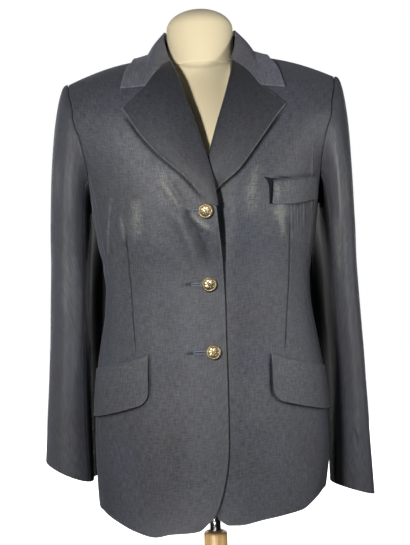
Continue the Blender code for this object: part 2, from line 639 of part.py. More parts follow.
def sleeve_grid(side, first_turn, last_turn, cap_rows, arm_rows, columns):
    """The sleeve's outer face: curves from the armhole to the bicep ring, then rings down to the cuff.

    Each curve of the cap is a Hermite cubic that leaves the armhole sideways and arrives hanging down.
    """
    even = np.linspace(0, 1, columns)
    turns = first_turn + (last_turn - first_turn) * (even - SEAM_CROWDING * np.sin(2 * math.pi * even))
    edge, normal, inward = armhole_loop(side, turns)
    start = edge + inward * SLEEVE_SEAM_GAP
    x, y = sleeve_ring(side, np.full(columns, BICEP_HEIGHT), turns)
    end = np.stack([x, y, np.full(columns, BICEP_HEIGHT)], axis=-1)
    topness = (1 + np.sin(turns)) / 2
    reach = CAP_REACH_BOTTOM + (CAP_REACH_TOP - CAP_REACH_BOTTOM) * topness
    leave = unit(0.35 * normal + 0.65 * np.array([side, 0, 0])) * reach[:, None]
    hang = np.linalg.norm(end - start, axis=1)[:, None] * np.array([0.02 * side, 0, -1.15])
    s = np.linspace(0, 1, cap_rows)[:, None, None] ** 1.25
    cap = (
        start * (1 + 2 * s) * (1 - s) ** 2
        + end * s * s * (3 - 2 * s)
        + leave * s * (1 - s) ** 2
        - hang * s * s * (1 - s)
    )
    base, outward_rise, backward_rise = CUFF[side]
    table = SLEEVE[side][::-1]
    heights, middles = column(table, SLEEVE_COLUMNS, "height"), column(table, SLEEVE_COLUMNS, "middle_x")
    rows = []
    for share in np.linspace(0, 1, arm_rows)[1:]:
        nominal = BICEP_HEIGHT + share * (base - BICEP_HEIGHT)
        x, y = sleeve_ring(side, np.full(columns, nominal), turns)
        slant = (np.abs(x) - smooth(heights, middles, nominal)) * outward_rise + y * backward_rise
        rows.append(np.stack([x, y, nominal + slant * share**3], axis=-1))
    return np.concatenate([cap, np.stack(rows)], axis=0)


def flap_grid(side, corners, corner_radius, rows, columns, stand_off):
    """A flap's visible face over the front: level rows, its lower front corner cut to an arc."""
    across = np.linspace(0, 1, columns)
    top = by_length(np.array([corners["top_front"], corners["top_back"]]), columns)
    bottom = by_length(np.array([corners["bottom_front"], corners["bottom_back"]]), columns)
    from_front = np.abs(bottom[:, 0] - bottom[0, 0])
    inside = np.clip(1 - from_front / corner_radius, 0, 1)
    bottom[:, 1] += corner_radius * (1 - np.sqrt(1 - inside**2))
    down = np.linspace(0, 1, rows)[:, None, None]
    places = bottom + down * (top - bottom)
    grid = chart(places[..., 0], places[..., 1])
    out = 2 * LAYER_GAP + FLAP_CLOTH + stand_off * (1 - down[..., 0]) ** 0.7 * (1 - 0.5 * across)
    return lifted(side, grid, out)


def form_surface(angle, level):
    """The dress form under the cloth: the torso surface moved in, with flat plates at the arms."""
    low = 1 - ease(level, 0.52, 0.66)
    grid = np.stack([angle, level], axis=-1)
    middle = np.exp(-((torso(grid)[..., 0] / 0.075) ** 4)) * (np.cos(angle) > 0)
    inset = CLOTH + FORM_CLEARANCE + np.maximum(FORM_SLACK * low, FORM_CHEST_SLACK * middle)
    points = torso(grid, -inset)
    plate = ARM_PLATE_X + ARM_PLATE_SLOPE * (points[:, 2] - ARMHOLE_BOTTOM)
    points[:, 0] = np.minimum(points[:, 0], plate)
    return points


def clear_scene():
    for obj in list(bpy.data.objects):
        bpy.data.objects.remove(obj, do_unlink=True)


def material(name, colour, roughness, metallic=0.0):
    made = bpy.data.materials.new(name)
    made.use_nodes = True
    shader = made.node_tree.nodes["Principled BSDF"]
    shader.inputs["Base Color"].default_value = (*colour, 1)
    shader.inputs["Roughness"].default_value = roughness
    shader.inputs["Metallic"].default_value = metallic
    return made


def add_object(name, mesh, finish, collection, parent=None):
    obj = bpy.data.objects.new(name, mesh)
    collection.objects.link(obj)
    obj.data.materials.append(finish)
    obj.parent = parent
    obj.data.shade_smooth()
    obj.data.set_sharp_from_angle(angle=math.radians(40))
    return obj


def sheet_mesh(name, grid, flip):
    """A four-sided sheet of points, rows by columns, as an open surface."""
    rows, columns = grid.shape[:2]
    corner = (np.arange(rows - 1)[:, None] * columns + np.arange(columns - 1)).ravel()
    faces = np.stack([corner, corner + 1, corner + columns + 1, corner + columns], axis=-1)
    if flip:
        faces = faces[:, ::-1]
    mesh = bpy.data.meshes.new(name)
    mesh.from_pydata(grid.reshape(-1, 3).tolist(), [], faces.tolist())
    mesh.update()
    return mesh


def faces_outward(grid, away_from):
    """Whether the sheet's faces, taken in order, point away from that point or line of points."""
    a, b, c = grid[:-1, :-1], grid[:-1, 1:], grid[1:, :-1]
    normal = np.cross(b - a, c - a)
    return float((normal * (a - away_from)).sum()) > 0


def add_cloth(name, grid, thickness, finish, collection, parent, away_from):
    """A piece of cloth: an open sheet, given its thickness inwards by Solidify."""
    mesh = sheet_mesh(name, grid, not faces_outward(grid, away_from))
    obj = add_object(name, mesh, finish, collection, parent)
    wall = obj.modifiers.new("wall", "SOLIDIFY")
    wall.thickness = thickness
    wall.offset = -1
    wall.use_even_offset = False
    wall.use_rim = True
    return obj


def add_turned(name, profile, finish, collection, parent=None, steps=32):
    """A turned piece: a profile of (radius, height) from its top to its bottom, screwed about Z."""
    mesh = bpy.data.meshes.new(name)
    edges = [(i, i + 1) for i in range(len(profile) - 1)]
    mesh.from_pydata([(r, 0, z) for r, z in profile], edges, [])
    obj = add_object(name, mesh, finish, collection, parent)
    screw = obj.modifiers.new("turn", "SCREW")
    screw.steps = steps
    screw.render_steps = steps
    screw.use_merge_vertices = True
    screw.merge_threshold = 0.00005
    return obj


def build_body(finish, collection, parent):
    spine = np.array([0.0, 0.0, 0.4])
    for side, name in ((RIGHT, "right"), (LEFT, "left")):
        front = lifted(side, front_chart(side, 13))
        add_cloth(f"front_{name}", front, CLOTH, finish, collection, parent, spine)
        flank = lifted(side, side_chart(side, 6))
        add_cloth(f"side_{name}", flank, CLOTH, finish, collection, parent, spine)
        back = lifted(side, back_chart(side, 10))
        add_cloth(f"back_{name}", back, CLOTH, finish, collection, parent, spine)


def build_lapels(finish, collection, parent):
    for side, name in ((RIGHT, "right"), (LEFT, "left")):
        grid = lapel_grid(side, 15, 8, 4)
        centre = grid[:, 5:6] - np.array([0, -0.004, 0])
        mesh = sheet_mesh(f"lapel_{name}", grid, not faces_outward(grid[:, 8:], centre[:-1]))
        obj = add_object(f"lapel_{name}", mesh, finish, collection, parent)
        wall = obj.modifiers.new("wall", "SOLIDIFY")
        wall.thickness = FACING_CLOTH
        wall.offset = -1


def build_collar(finish, collection, parent):
    grid = collar_grid(15, 6, 3)
    fall = grid[:, 7:]
    outward = faces_outward(fall, np.array([0.0, 0.0, 0.66]))
    obj = add_object("collar", sheet_mesh("collar", grid, not outward), finish, collection, parent)
    wall = obj.modifiers.new("wall", "SOLIDIFY")
    wall.thickness = FACING_CLOTH
    wall.offset = -1


def build_sleeves(finish, collection, parent):
    gap = SEAM_GAP / 2 / 0.05
    for side, name in ((RIGHT, "right"), (LEFT, "left")):
        inside = np.array([side * 0.215, 0.0, 0.35])
        over = sleeve_grid(side, FOREARM_SEAM + gap, ELBOW_SEAM - gap, 8, 13, 15)
        add_cloth(f"sleeve_top_{name}", over, CLOTH, finish, collection, parent, inside)
        under = sleeve_grid(side, ELBOW_SEAM + gap, FOREARM_SEAM + 2 * math.pi - gap, 8, 13, 7)
        add_cloth(f"sleeve_under_{name}", under, CLOTH, finish, collection, parent, inside)


def build_flaps(finish, collection, parent):
    spine = np.array([0.0, 0.0, 0.3])
    for side, name in ((RIGHT, "right"), (LEFT, "left")):
        grid = flap_grid(side, HIP_FLAP[side], HIP_FLAP_CORNER, 5, 12, FLAP_STAND_OFF)
        add_cloth(f"hip_flap_{name}", grid, FLAP_CLOTH, finish, collection, parent, spine)
    grid = flap_grid(LEFT, CHEST_FLAP, CHEST_FLAP_CORNER, 4, 8, FLAP_STAND_OFF)
    add_cloth("chest_flap", grid, FLAP_CLOTH, finish, collection, parent, spine)


def build_buttons(finish, collection, parent):
    """Domed shank buttons, each square to the cloth under it."""
    rim = BUTTON_RADIUS
    fall = [(math.sin(a), 0.0030 * (1 - math.cos(a))) for a in np.radians([0, 20, 40, 60])]
    dome = [(rim * across, BUTTON_HEIGHT - down - 0.0004) for across, down in fall]
    edge = [(rim, 0.0030), (rim, 0.0015), (rim * 0.86, 0.0004), (SHANK_RADIUS, 0.0)]
    profile = dome + edge + [(SHANK_RADIUS, -SHANK_LENGTH), (0.0, -SHANK_LENGTH)]
    for number, (x, height, seat) in enumerate(BUTTONS, start=1):
        place = chart(-x, height)
        ground = lifted(RIGHT, place)
        normal = lifted_normal(RIGHT, place)
        obj = add_turned(f"button_{number}", profile, finish, collection, parent, steps=14)
        obj.location = tuple(ground + normal * (SHANK_LENGTH + seat))
        obj.rotation_mode = "QUATERNION"
        obj.rotation_quaternion = Vector(normal).to_track_quat("Z", "Y")


def form_mesh():
    """The padded torso: rings that lean in until their front and back halves meet under the shoulder seam."""
    angles = np.linspace(0, math.pi, 19)
    rings = []
    for share in np.linspace(0, 1, 24):
        level = FORM_BOTTOM + share * (top_level(angles) - 0.004 - FORM_BOTTOM)
        half = form_surface(angles, level)
        rings.append(np.concatenate([half, half[-2:0:-1] * (-1, 1, 1)]))
    rings[0][:, 2] = FORM_BOTTOM
    count = len(rings[0])
    quarter = count // 4
    faces = [tuple(range(count))[::-1]]
    for row in range(len(rings) - 1):
        for k in range(count):
            low = row * count
            faces.append((low + k, low + (k + 1) % count, low + count + (k + 1) % count, low + count + k))
    top = (len(rings) - 1) * count
    for k in range(quarter):
        across = (k, k + 1, 2 * quarter - k - 1, 2 * quarter - k)
        faces.append(tuple(top + i for i in dict.fromkeys(across)))
        mirrored = (-k % count, 2 * quarter + k, 2 * quarter + k + 1, -(k + 1) % count)
        faces.append(tuple(top + i for i in dict.fromkeys(mirrored)))
    mesh = bpy.data.meshes.new("dress_form")
    mesh.from_pydata(np.concatenate(rings).tolist(), [], faces)
    mesh.update()
    return mesh


def build_form(finish, collection, helpers, parent):
    """The torso with its domed neck, as one body."""
    torso_form = add_object("dress_form", form_mesh(), finish, collection, parent)
    dome_from = NECK_TOP - NECK_DOME
    profile = [(0.0, NECK_TOP)]
    arc = [(math.sin(a), math.cos(a)) for a in np.radians([18, 36, 54, 72])]
    profile += [(NECK_RADIUS * across, dome_from + NECK_DOME * up) for across, up in arc]
    profile += [(NECK_RADIUS, dome_from), (NECK_RADIUS, NECK_NARROWS), (NECK_RADIUS_LOW, NECK_NARROWS - 0.02)]
    profile += [(NECK_RADIUS_LOW, NECK_FROM), (0.0, NECK_FROM)]
    neck = add_turned("form_neck", profile, finish, helpers, parent, steps=36)
    neck.location.y = NECK_Y
    neck.hide_render = True
    neck.display_type = "WIRE"
    joined = torso_form.modifiers.new("neck", "BOOLEAN")
    joined.operation = "UNION"
    joined.solver = "EXACT"
    joined.object = neck


def build_stand(steel, wood, collection, parent):
    rod_top = HEM_HEIGHT + FORM_BOTTOM - 0.0003
    rod_bottom = POST_TOP - 0.040
    rod = [(0, rod_top), (ROD_RADIUS, rod_top), (ROD_RADIUS, rod_bottom), (0, rod_bottom)]
    add_turned("stand_rod", rod, steel, collection, steps=24)
    base_top = BASE_THICKNESS
    post = [
        (POST_BORE, POST_TOP - 0.001),
        (POST_RADIUS - 0.003, POST_TOP),
        (POST_RADIUS, POST_TOP - 0.004),
        (POST_RADIUS, base_top + 0.040),
        (POST_RADIUS + 0.004, base_top + 0.022),
        (POST_RADIUS + 0.012, base_top + 0.010),
        (POST_RADIUS + 0.014, base_top + 0.0003),
        (0.0, base_top + 0.0003),
    ]
    bore = [(0.0, rod_bottom - 0.0003), (POST_BORE, rod_bottom - 0.0003)]
    add_turned("stand_post", bore + post, wood, collection, steps=32)
    base = [
        (0.0, base_top),
        (BASE_RADIUS - 0.010, base_top),
        (BASE_RADIUS - 0.003, base_top - 0.003),
        (BASE_RADIUS, base_top - 0.010),
        (BASE_RADIUS, 0.003),
        (BASE_RADIUS - 0.003, 0.0),
        (0.0, 0.0),
    ]
    add_turned("stand_base", base, wood, collection, steps=48)


def main():
    clear_scene()
    model = bpy.data.collections.new("blazer_on_dress_form")
    bpy.context.scene.collection.children.link(model)
    helpers = bpy.data.collections.new("helpers")
    helpers.hide_render = True
    bpy.context.scene.collection.children.link(helpers)
    garment = bpy.data.objects.new("garment", None)
    garment.location.z = HEM_HEIGHT
    model.objects.link(garment)
    cloth = material("worsted", CLOTH_COLOUR, 0.6)
    cream = material("form_cover", FORM_COLOUR, 0.8)
    brass = material("brass", BRASS_COLOUR, 0.35, 1.0)
    steel = material("steel", STEEL_COLOUR, 0.2, 1.0)
    wood = material("wood", WOOD_COLOUR, 0.45)
    build_body(cloth, model, garment)
    build_lapels(cloth, model, garment)
    build_collar(cloth, model, garment)
    build_sleeves(cloth, model, garment)
    build_flaps(cloth, model, garment)
    build_buttons(brass, model, garment)
    build_form(cream, model, helpers, garment)
    build_stand(steel, wood, model, garment)


main()
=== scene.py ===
"""The finish of a single-breasted blazer on a limbless dress form: cloth, seams, folds, buttons and studio.

Metres, +Z up. The wearer faces -Y, and "right" and "left" are the wearer's. Heights in the tables are
measured from the hem's lowest point, and x from the middle of the front towards the piece's own side.
"""

import math
from collections import namedtuple

import bpy
import numpy as np
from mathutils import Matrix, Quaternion, Vector


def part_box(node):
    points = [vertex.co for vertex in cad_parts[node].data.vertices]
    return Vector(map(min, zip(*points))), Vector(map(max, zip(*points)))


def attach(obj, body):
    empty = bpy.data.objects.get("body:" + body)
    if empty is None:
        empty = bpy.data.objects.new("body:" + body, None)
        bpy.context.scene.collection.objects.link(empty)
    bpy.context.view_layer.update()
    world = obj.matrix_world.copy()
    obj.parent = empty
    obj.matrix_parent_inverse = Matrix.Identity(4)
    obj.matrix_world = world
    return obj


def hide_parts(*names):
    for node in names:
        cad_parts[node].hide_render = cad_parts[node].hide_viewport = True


bl_info = {
    "name": "Blazer on a Dress Form",
    "version": (1, 0, 0),
    "blender": (4, 5, 0),
    "location": "3D Viewport > Sidebar > Blazer",
    "description": "Builds the cloth, trim, dress form and studio of a tailored blazer",
    "category": "Add Mesh",
}

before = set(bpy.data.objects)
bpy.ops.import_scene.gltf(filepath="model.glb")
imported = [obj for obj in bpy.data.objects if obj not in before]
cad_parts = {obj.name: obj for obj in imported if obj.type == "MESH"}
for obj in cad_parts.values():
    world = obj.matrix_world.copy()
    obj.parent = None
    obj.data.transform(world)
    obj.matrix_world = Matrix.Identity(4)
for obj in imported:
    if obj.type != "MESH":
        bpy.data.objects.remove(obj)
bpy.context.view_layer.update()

# Driving sizes
HEM_HEIGHT = 0.240
CLOTH = 0.0020
SEAM_GAP = 0.0003
SLEEVE_SEAM_GAP = 0.0003
SHOULDER_SEAM = 0.0003
LAYER_GAP = 0.0005
RIGHT = -1  # the wearer's right is at -X
LEFT = 1
SIDES = ((RIGHT, "right"), (LEFT, "left"))

# The torso: a ring at each height, half as wide as half_width and as deep as the two depths
TORSO_COLUMNS = ("height", "half_width", "front_depth", "back_depth")
TORSO = (
    (0.0, 0.18, 0.14, 0.128),
    (0.06, 0.1845, 0.138, 0.13),
    (0.125, 0.1855, 0.1355, 0.131),
    (0.19, 0.1835, 0.1325, 0.127),
    (0.24, 0.179, 0.1295, 0.119),
    (0.29, 0.1705, 0.127, 0.107),
    (0.33, 0.164, 0.125, 0.0985),
    (0.361, 0.162, 0.1245, 0.0945),
    (0.395, 0.1645, 0.127, 0.0955),
    (0.435, 0.1715, 0.133, 0.101),
    (0.475, 0.1775, 0.139, 0.108),
    (0.51, 0.1825, 0.142, 0.113),
    (0.545, 0.1925, 0.143, 0.1165),
    (0.594, 0.2165, 0.143, 0.118),
    (0.65, 0.24, 0.143, 0.118),
    (0.7, 0.243, 0.143, 0.118),
)
RING_POWER = 2.3
CHEST_HEIGHT = 0.510
BLADE_HEIGHT = 0.580
SHOULDER_LEVEL = 0.715
NECK_HALF_WIDTH = 0.070
NECK_POINT_HEIGHT = 0.727
NAPE_HEIGHT = 0.703
SHOULDER_DROP = 1.136
SHOULDER_BEND = 1.77
BUST_FULLNESS = 0.007
BUST_X = 0.088
BUST_HEIGHT = 0.470
BUST_WIDTH = 0.052
BUST_TALLNESS = 0.060
BODY_ROUND = 0.13  # the body's mean radius, which turns a length round it into an angle
NAPE_X = 0.0012
MIDDLE_SEAM_TURN = 0.0004  # how far the middle back's edge stays from the middle, as an angle
BACK_SHOULDER_SHARE = 0.62  # how much of the back's top runs along the shoulder, before the neck

ARMHOLE_FRONT = (
    (0.2125, 0.69), (0.206, 0.669), (0.198, 0.636),
    (0.189, 0.6), (0.1825, 0.57), (0.1795, 0.545),
)
ARMHOLE_BACK = (
    (0.2125, 0.69), (0.208, 0.665), (0.201, 0.63),
    (0.1935, 0.595), (0.187, 0.568), (0.1815, 0.545),
)
ARMHOLE_BOTTOM = 0.494
ARMHOLE_MIDDLE = 0.592
ARMHOLE_HALF_HEIGHT = 0.098
ARMHOLE_HALF_DEPTH = 0.072
ARMHOLE_DIP = (0.0, -0.012)  # how far its lower corners hang below straight lines, as angle and level
SIDE_SEAM_AT_HEM = math.radians(70)
BACK_SEAM_AT_HEM = math.radians(112)

# The front edge and the break line, over which the lapel rolls: reach past the middle, and height
FRONT_EDGE = (
    (-0.005, 0.025), (0.006, 0.044), (0.0143, 0.072), (0.0199, 0.1), (0.0228, 0.13),
    (0.0238, 0.18), (0.024, 0.28), (0.0243, 0.345), (0.0222, 0.4), (0.0192, 0.445),
)
BREAK_LINE = {
    RIGHT: (
        (0.0158, 0.483), (0.0128, 0.5085), (0.0052, 0.5416), (-0.003, 0.57),
        (-0.0138, 0.6076), (-0.0246, 0.641), (-0.0376, 0.685), (-0.0474, 0.7115),
    ),
    LEFT: (
        (0.0158, 0.478), (0.0075, 0.505), (-0.0072, 0.548), (-0.0177, 0.5855),
        (-0.034, 0.639), (-0.043, 0.672), (-0.0476, 0.693), (-0.049, 0.71),
    ),
}
NECK_POINT = (-0.0730, 0.7268)
HEM_FRONT = {
    RIGHT: (
        (0.005, 0.025), (0.0245, 0.01), (0.066, 0.005), (0.09, 0.0),
        (0.12, 0.006), (0.145, 0.015), (0.17, 0.025),
    ),
    LEFT: (
        (0.005, 0.025), (0.02, 0.0165), (0.034, 0.0165), (0.0705, 0.022),
        (0.108, 0.0262), (0.1326, 0.029), (0.15, 0.037), (0.17, 0.048),
    ),
}
HEM_SIDE_SEAM = {RIGHT: 0.0255, LEFT: 0.0490}
HEM_BACK_SEAM = {RIGHT: 0.0230, LEFT: 0.0380}
HEM_MIDDLE_BACK = 0.0200
HEM_TUCK = 0.009
HEM_TUCK_FROM = 0.110
HEM_TURN_UP = 0.038  # how far above the hem its turned-up edge prints through the cloth
HEM_PRINT, HEM_PRINT_WIDTH = 0.00008, 0.0025

# How far the buttoned right front stands off the left one
OVERLAP_START = -0.075
OVERLAP_FULL = -0.028
OVERLAP_LIFT = CLOTH + LAYER_GAP + 0.0001
CROSSING_LIFT = 0.0062
CROSSING_HEIGHT = 0.520
CROSSING_TALLNESS = 0.060
GAPE = 0.0115
GAPE_HEIGHT = 0.452
GAPE_TALLNESS = 0.060

# The lapels, in the same measures as the front edge
LAPEL_EDGE = {
    RIGHT: (
        (0.0035, 0.486), (-0.007, 0.4987), (-0.024, 0.5193),
        (-0.0693, 0.5626), (-0.096, 0.596), (-0.1185, 0.632),
    ),
    LEFT: (
        (0.004, 0.483), (-0.006, 0.493), (-0.018, 0.506),
        (-0.0523, 0.536), (-0.0805, 0.5735), (-0.124, 0.631),
    ),
}
LAPEL_NOTCH = {RIGHT: (-0.0845, 0.6650), LEFT: (-0.0885, 0.6612)}
LAPEL_REST = 0.0034
LAPEL_LOFT = 0.0045
ROLL_RADIUS = 0.0038
ROLL_INSET = 0.0008
FACING_TURN = 0.006
FACING_WALL = 0.0014
LAPEL_INSIDE = np.array([0.0, 0.30, 0.60])  # a point behind the lapels, and one inside the collar
COLLAR_INSIDE = np.array([0.0, 0.0, 0.66])

COLLAR_ROLL = (
    (0.0, 0.066, 0.762), (0.033, 0.055, 0.769), (0.0567, 0.02, 0.776),
    (0.059, -0.006, 0.764), (0.0545, -0.033, 0.736), (0.048, -0.05, 0.715),
)
COLLAR_EDGE_BACK = ((0.0, 0.6960), (0.0500, 0.7010), (0.0850, 0.7120))
COLLAR_EDGE_FRONT = {
    RIGHT: ((0.1070, 0.7130), (0.1150, 0.6960), (0.1215, 0.6650)),
    LEFT: ((0.1080, 0.7120), (0.1170, 0.6940), (0.1248, 0.6592)),
}
COLLAR_RIDGE = ((0.0990, 0.012), (0.1050, -0.012))
COLLAR_REST = 0.0042
COLLAR_LOFT = 0.0006
COLLAR_ROLL_RADIUS = 0.0017
STAND_HEIGHT = 0.030
STAND_TAPER = 0.94  # how much of its height the stand has lost at its front end
COLLAR_STAND_LEAN = 0.0015
GORGE_ARCH = 0.0065

# The sleeves below the arm: each ring's middle, its half sizes, its twist, and how far its back is tucked in
SLEEVE_COLUMNS = ("height", "middle_x", "middle_y", "half_width", "half_depth", "twist", "tuck")
SLEEVE = {
    RIGHT: (
        (0.455, 0.2155, 0.004, 0.033, 0.068, 6, 0.046),
        (0.4, 0.2175, 0.004, 0.0325, 0.0665, 8, 0.06),
        (0.35, 0.2195, 0.003, 0.0325, 0.065, 9, 0.064),
        (0.29, 0.2215, 0.001, 0.0325, 0.0625, 10, 0.062),
        (0.23, 0.224, -0.001, 0.0335, 0.06, 10, 0.05),
        (0.16, 0.2265, -0.003, 0.035, 0.057, 12, 0.043),
        (0.075, 0.229, -0.006, 0.037, 0.0545, 18, 0.04),
    ),
    LEFT: (
        (0.455, 0.21, 0.004, 0.0275, 0.069, 0, 0.032),
        (0.4, 0.2115, 0.004, 0.0265, 0.0675, 0, 0.046),
        (0.35, 0.2135, 0.004, 0.0265, 0.066, 0, 0.052),
        (0.29, 0.2165, 0.002, 0.0265, 0.0635, 0, 0.048),
        (0.23, 0.219, 0.0, 0.0265, 0.061, -2, 0.032),
        (0.14, 0.2205, -0.003, 0.028, 0.058, -3, 0.022),
        (0.035, 0.221, -0.006, 0.032, 0.055, -4, 0.014),
    ),
}
CUFF = {RIGHT: (0.078, 0.40, -0.05), LEFT: (0.036, -0.28, -0.12)}  # height, and its rise outward and backward
BICEP_HEIGHT = 0.455
FOREARM_SEAM = math.radians(-38)
ELBOW_SEAM = math.radians(232)
CAP_REACH_TOP = 0.070
CAP_REACH_BOTTOM = 0.012
ARM_X = 0.215
SLEEVE_ROUND = 0.050  # the sleeve's mean radius, which turns an angle round it into a length

HIP_FLAP = {
    RIGHT: {
        "top_front": (0.0910, 0.2680), "top_back": (0.1760, 0.2430),
        "bottom_back": (0.1810, 0.1680), "bottom_front": (0.0915, 0.1960),
    },
    LEFT: {
        "top_front": (0.0900, 0.2640), "top_back": (0.1760, 0.2370),
        "bottom_back": (0.1810, 0.1690), "bottom_front": (0.0900, 0.1960),
    },
}
CHEST_FLAP = {
    "top_front": (0.1005, 0.5180), "top_back": (0.1690, 0.5270),
    "bottom_back": (0.1700, 0.4940), "bottom_front": (0.0960, 0.4840),
}
# The dark strip beside the chest flap, a painted shadow of the pocket's opening under the flap: shares up it,
# x and height of its outer and its hidden side
POCKET_MOUTH = (
    ((0.0, 0.75, 0.92, 1.0), (0.0945, 0.0936, 0.0912, 0.0862), (0.4835, 0.51, 0.518, 0.5228)),
    ((0.0, 0.75, 0.92, 1.0), (0.106, 0.11, 0.111, 0.11), (0.4855, 0.5115, 0.5177, 0.5195)),
)
HIP_FLAP_CORNER = 0.016
CHEST_FLAP_CORNER = 0.002
CHEST_FLAP_SAG = 0.0038
FLAP_STAND_OFF = 0.0022
FLAP_SEAM_OUT = 0.0006
POCKET_OUT = 0.0006
POCKET_WALL = 0.0004

Button = namedtuple("Button", "x height hole_start")
BUTTONS = (Button(0.0010, 0.4760, 0.0195), Button(0.0020, 0.3690, 0.0235), Button(0.0050, 0.2690, 0.0240))
BUTTON_RADIUS = 0.0107
BUTTON_HEIGHT = 0.0055
SHANK_LENGTH = 0.0020
# A button's side and foot, from the rim down to the shank: shares of its radius, and heights
BUTTON_EDGE = (
    (1.0, 0.0030), (1.02, 0.0024), (1.0, 0.0016), (0.86, 0.0005), (0.30, 0.0001), (0.26, -SHANK_LENGTH),
)
HOLE_HALF_HEIGHT = 0.0019
HOLE_PAST_BUTTON = 0.004
THREAD_RADIUS, THREAD_TWIST = 0.00085, 0.00018

FORM_CLEARANCE = 0.0030
FORM_SLACK = 0.0080
FORM_CHEST_SLACK = 0.0055
FORM_BOTTOM = 0.090
ARM_PLATE_X = 0.1715
ARM_PLATE_SLOPE = 0.180
NECK_RADIUS = 0.0530
NECK_Y = 0.004
NECK_TOP = 0.8060
NECK_FROM = 0.600
FORM_EDGE_ROUND = 0.006
NECK_DOME = 0.032
NECK_SEAM = 0.7135
NECK_TAPER = 0.0012  # how much slimmer the neck is at its seam than under its dome
# The form's front between chest and neck: height, and reach from the neck's axis
THROAT = (
    (0.5, 0.15), (0.56, 0.128), (0.6, 0.111), (0.62, 0.101), (0.64, 0.09),
    (0.66, 0.0785), (0.68, 0.0665), (0.7, 0.055), (0.7135, 0.049), (0.73, 0.044),
)
THROAT_WIDTH = 0.080

# The left front sinks between these places, beside the right one's edge
UNDERLAP = (-0.046, -0.012)
UNDERLAP_TOP = (0.490, 0.535)
UNDERLAP_SINK = 0.0034
UNDERLAP_HOLLOW = (0.0085, 0.462, 0.040)  # between the upper buttons: how much deeper, height and size

# Folds: a line from start to end with a bow, how wide and deep it is, and its raised lip
Fold = namedtuple("Fold", "x height end_x end_height bow width depth lip", defaults=(0.0,))
FRONT_CREASES = {
    RIGHT: (
        (0.0375, 0.479, 0.003, 0.386, -0.008, 0.0072, -0.0046, 0.35),
        (0.0235, 0.476, -0.011, 0.447, 0.006, 0.0034, 0.0024, 0.6),
        (0.064, 0.52, 0.035, 0.47, -0.002, 0.0045, 0.0014, 0.7),
        (0.056, 0.523, 0.03, 0.48, -0.002, 0.004, -0.0012, 0.5),
        (0.1388, 0.518, 0.1525, 0.4, 0.0015, 0.0014, 0.0015, 0.6),
        (0.098, 0.415, 0.026, 0.372, 0.004, 0.012, -0.0005, 0.6),
        (0.088, 0.325, 0.028, 0.276, 0.005, 0.013, -0.0005, 0.55),
        (0.07, 0.215, 0.05, 0.05, 0.006, 0.02, -0.0006, 0.4),
        (0.13, 0.15, 0.12, 0.03, -0.006, 0.02, -0.0007, 0.5),
        (0.15, 0.665, 0.165, 0.58, 0.004, 0.012, -0.0006, 0.6),
        (0.1258, 0.475, 0.12, 0.435, 0.0, 0.002, 0.0005, 0.6),
    ),
    LEFT: (
        (0.096, 0.42, 0.042, 0.375, 0.004, 0.013, -0.0005, 0.6),
        (0.084, 0.33, 0.04, 0.278, 0.004, 0.013, -0.0005, 0.55),
        (0.1655, 0.575, 0.165, 0.44, -0.003, 0.0014, 0.0013, 0.6),
        (0.1271, 0.488, 0.1264, 0.43, 0.0, 0.0016, -0.0011, 0.6),
        (0.1362, 0.492, 0.1363, 0.442, 0.0006, 0.0016, -0.001, 0.6),
        (0.1469, 0.49, 0.1465, 0.448, -0.0005, 0.0017, -0.001, 0.6),
        (0.1185, 0.488, 0.1178, 0.438, 0.0004, 0.0015, -0.0008, 0.6),
        (0.066, 0.2, 0.048, 0.055, -0.006, 0.02, -0.0006, 0.4),
        (0.128, 0.15, 0.118, 0.045, 0.006, 0.02, -0.0007, 0.5),
        (0.145, 0.675, 0.17, 0.57, 0.005, 0.011, -0.0006, 0.6),
        (0.134, 0.66, 0.148, 0.6, -0.003, 0.008, -0.0004, 0.6),
    ),
}
# The dart of each front, from its upper end down to the hip pocket
DART = {
    RIGHT: ((0.1202, 0.4700), (0.1161, 0.3814), (0.1126, 0.3037), (0.1104, 0.2680)),
    LEFT: ((0.1252, 0.4700), (0.1222, 0.3737), (0.1168, 0.3215), (0.1114, 0.2640)),
}
BACK_CREASES = {
    RIGHT: (
        (0.15, 0.56, 0.07, 0.4, 0.012, 0.014, -0.0016, 0.6),
        (0.125, 0.44, 0.035, 0.365, 0.008, 0.011, -0.0012, 0.65),
        (0.145, 0.39, 0.06, 0.348, 0.006, 0.01, -0.0011, 0.6),
        (0.09, 0.23, 0.076, 0.05, 0.006, 0.02, -0.0014, 0.5),
        (0.14, 0.2, 0.133, 0.045, -0.005, 0.017, -0.0012, 0.5),
        (0.185, 0.64, 0.15, 0.53, 0.008, 0.012, -0.0016, 0.55),
        (0.05, 0.66, 0.11, 0.62, 0.005, 0.014, -0.0007, 0.5),
    ),
    LEFT: (
        (0.146, 0.55, 0.08, 0.415, 0.01, 0.013, -0.0015, 0.6),
        (0.13, 0.425, 0.03, 0.375, 0.007, 0.011, -0.0013, 0.65),
        (0.138, 0.375, 0.068, 0.34, 0.005, 0.01, -0.001, 0.6),
        (0.082, 0.22, 0.09, 0.055, -0.006, 0.021, -0.0013, 0.5),
        (0.145, 0.21, 0.13, 0.06, 0.005, 0.016, -0.0012, 0.5),
        (0.182, 0.635, 0.154, 0.54, 0.007, 0.012, -0.0015, 0.55),
        (0.046, 0.65, 0.1, 0.605, 0.004, 0.014, -0.0006, 0.5),
    ),
}
# On a side panel x runs across it, from its middle line forwards on the right side and backwards on the left
FLANK_CREASES = (
    (-0.03, 0.43, 0.035, 0.39, 0.006, 0.009, -0.0012, 0.6),
    (-0.03, 0.385, 0.03, 0.36, 0.005, 0.008, -0.0011, 0.6),
    (0.01, 0.24, -0.01, 0.07, 0.006, 0.015, -0.001, 0.5),
    (-0.015, 0.5, -0.005, 0.44, 0.003, 0.008, -0.0009, 0.5),
)
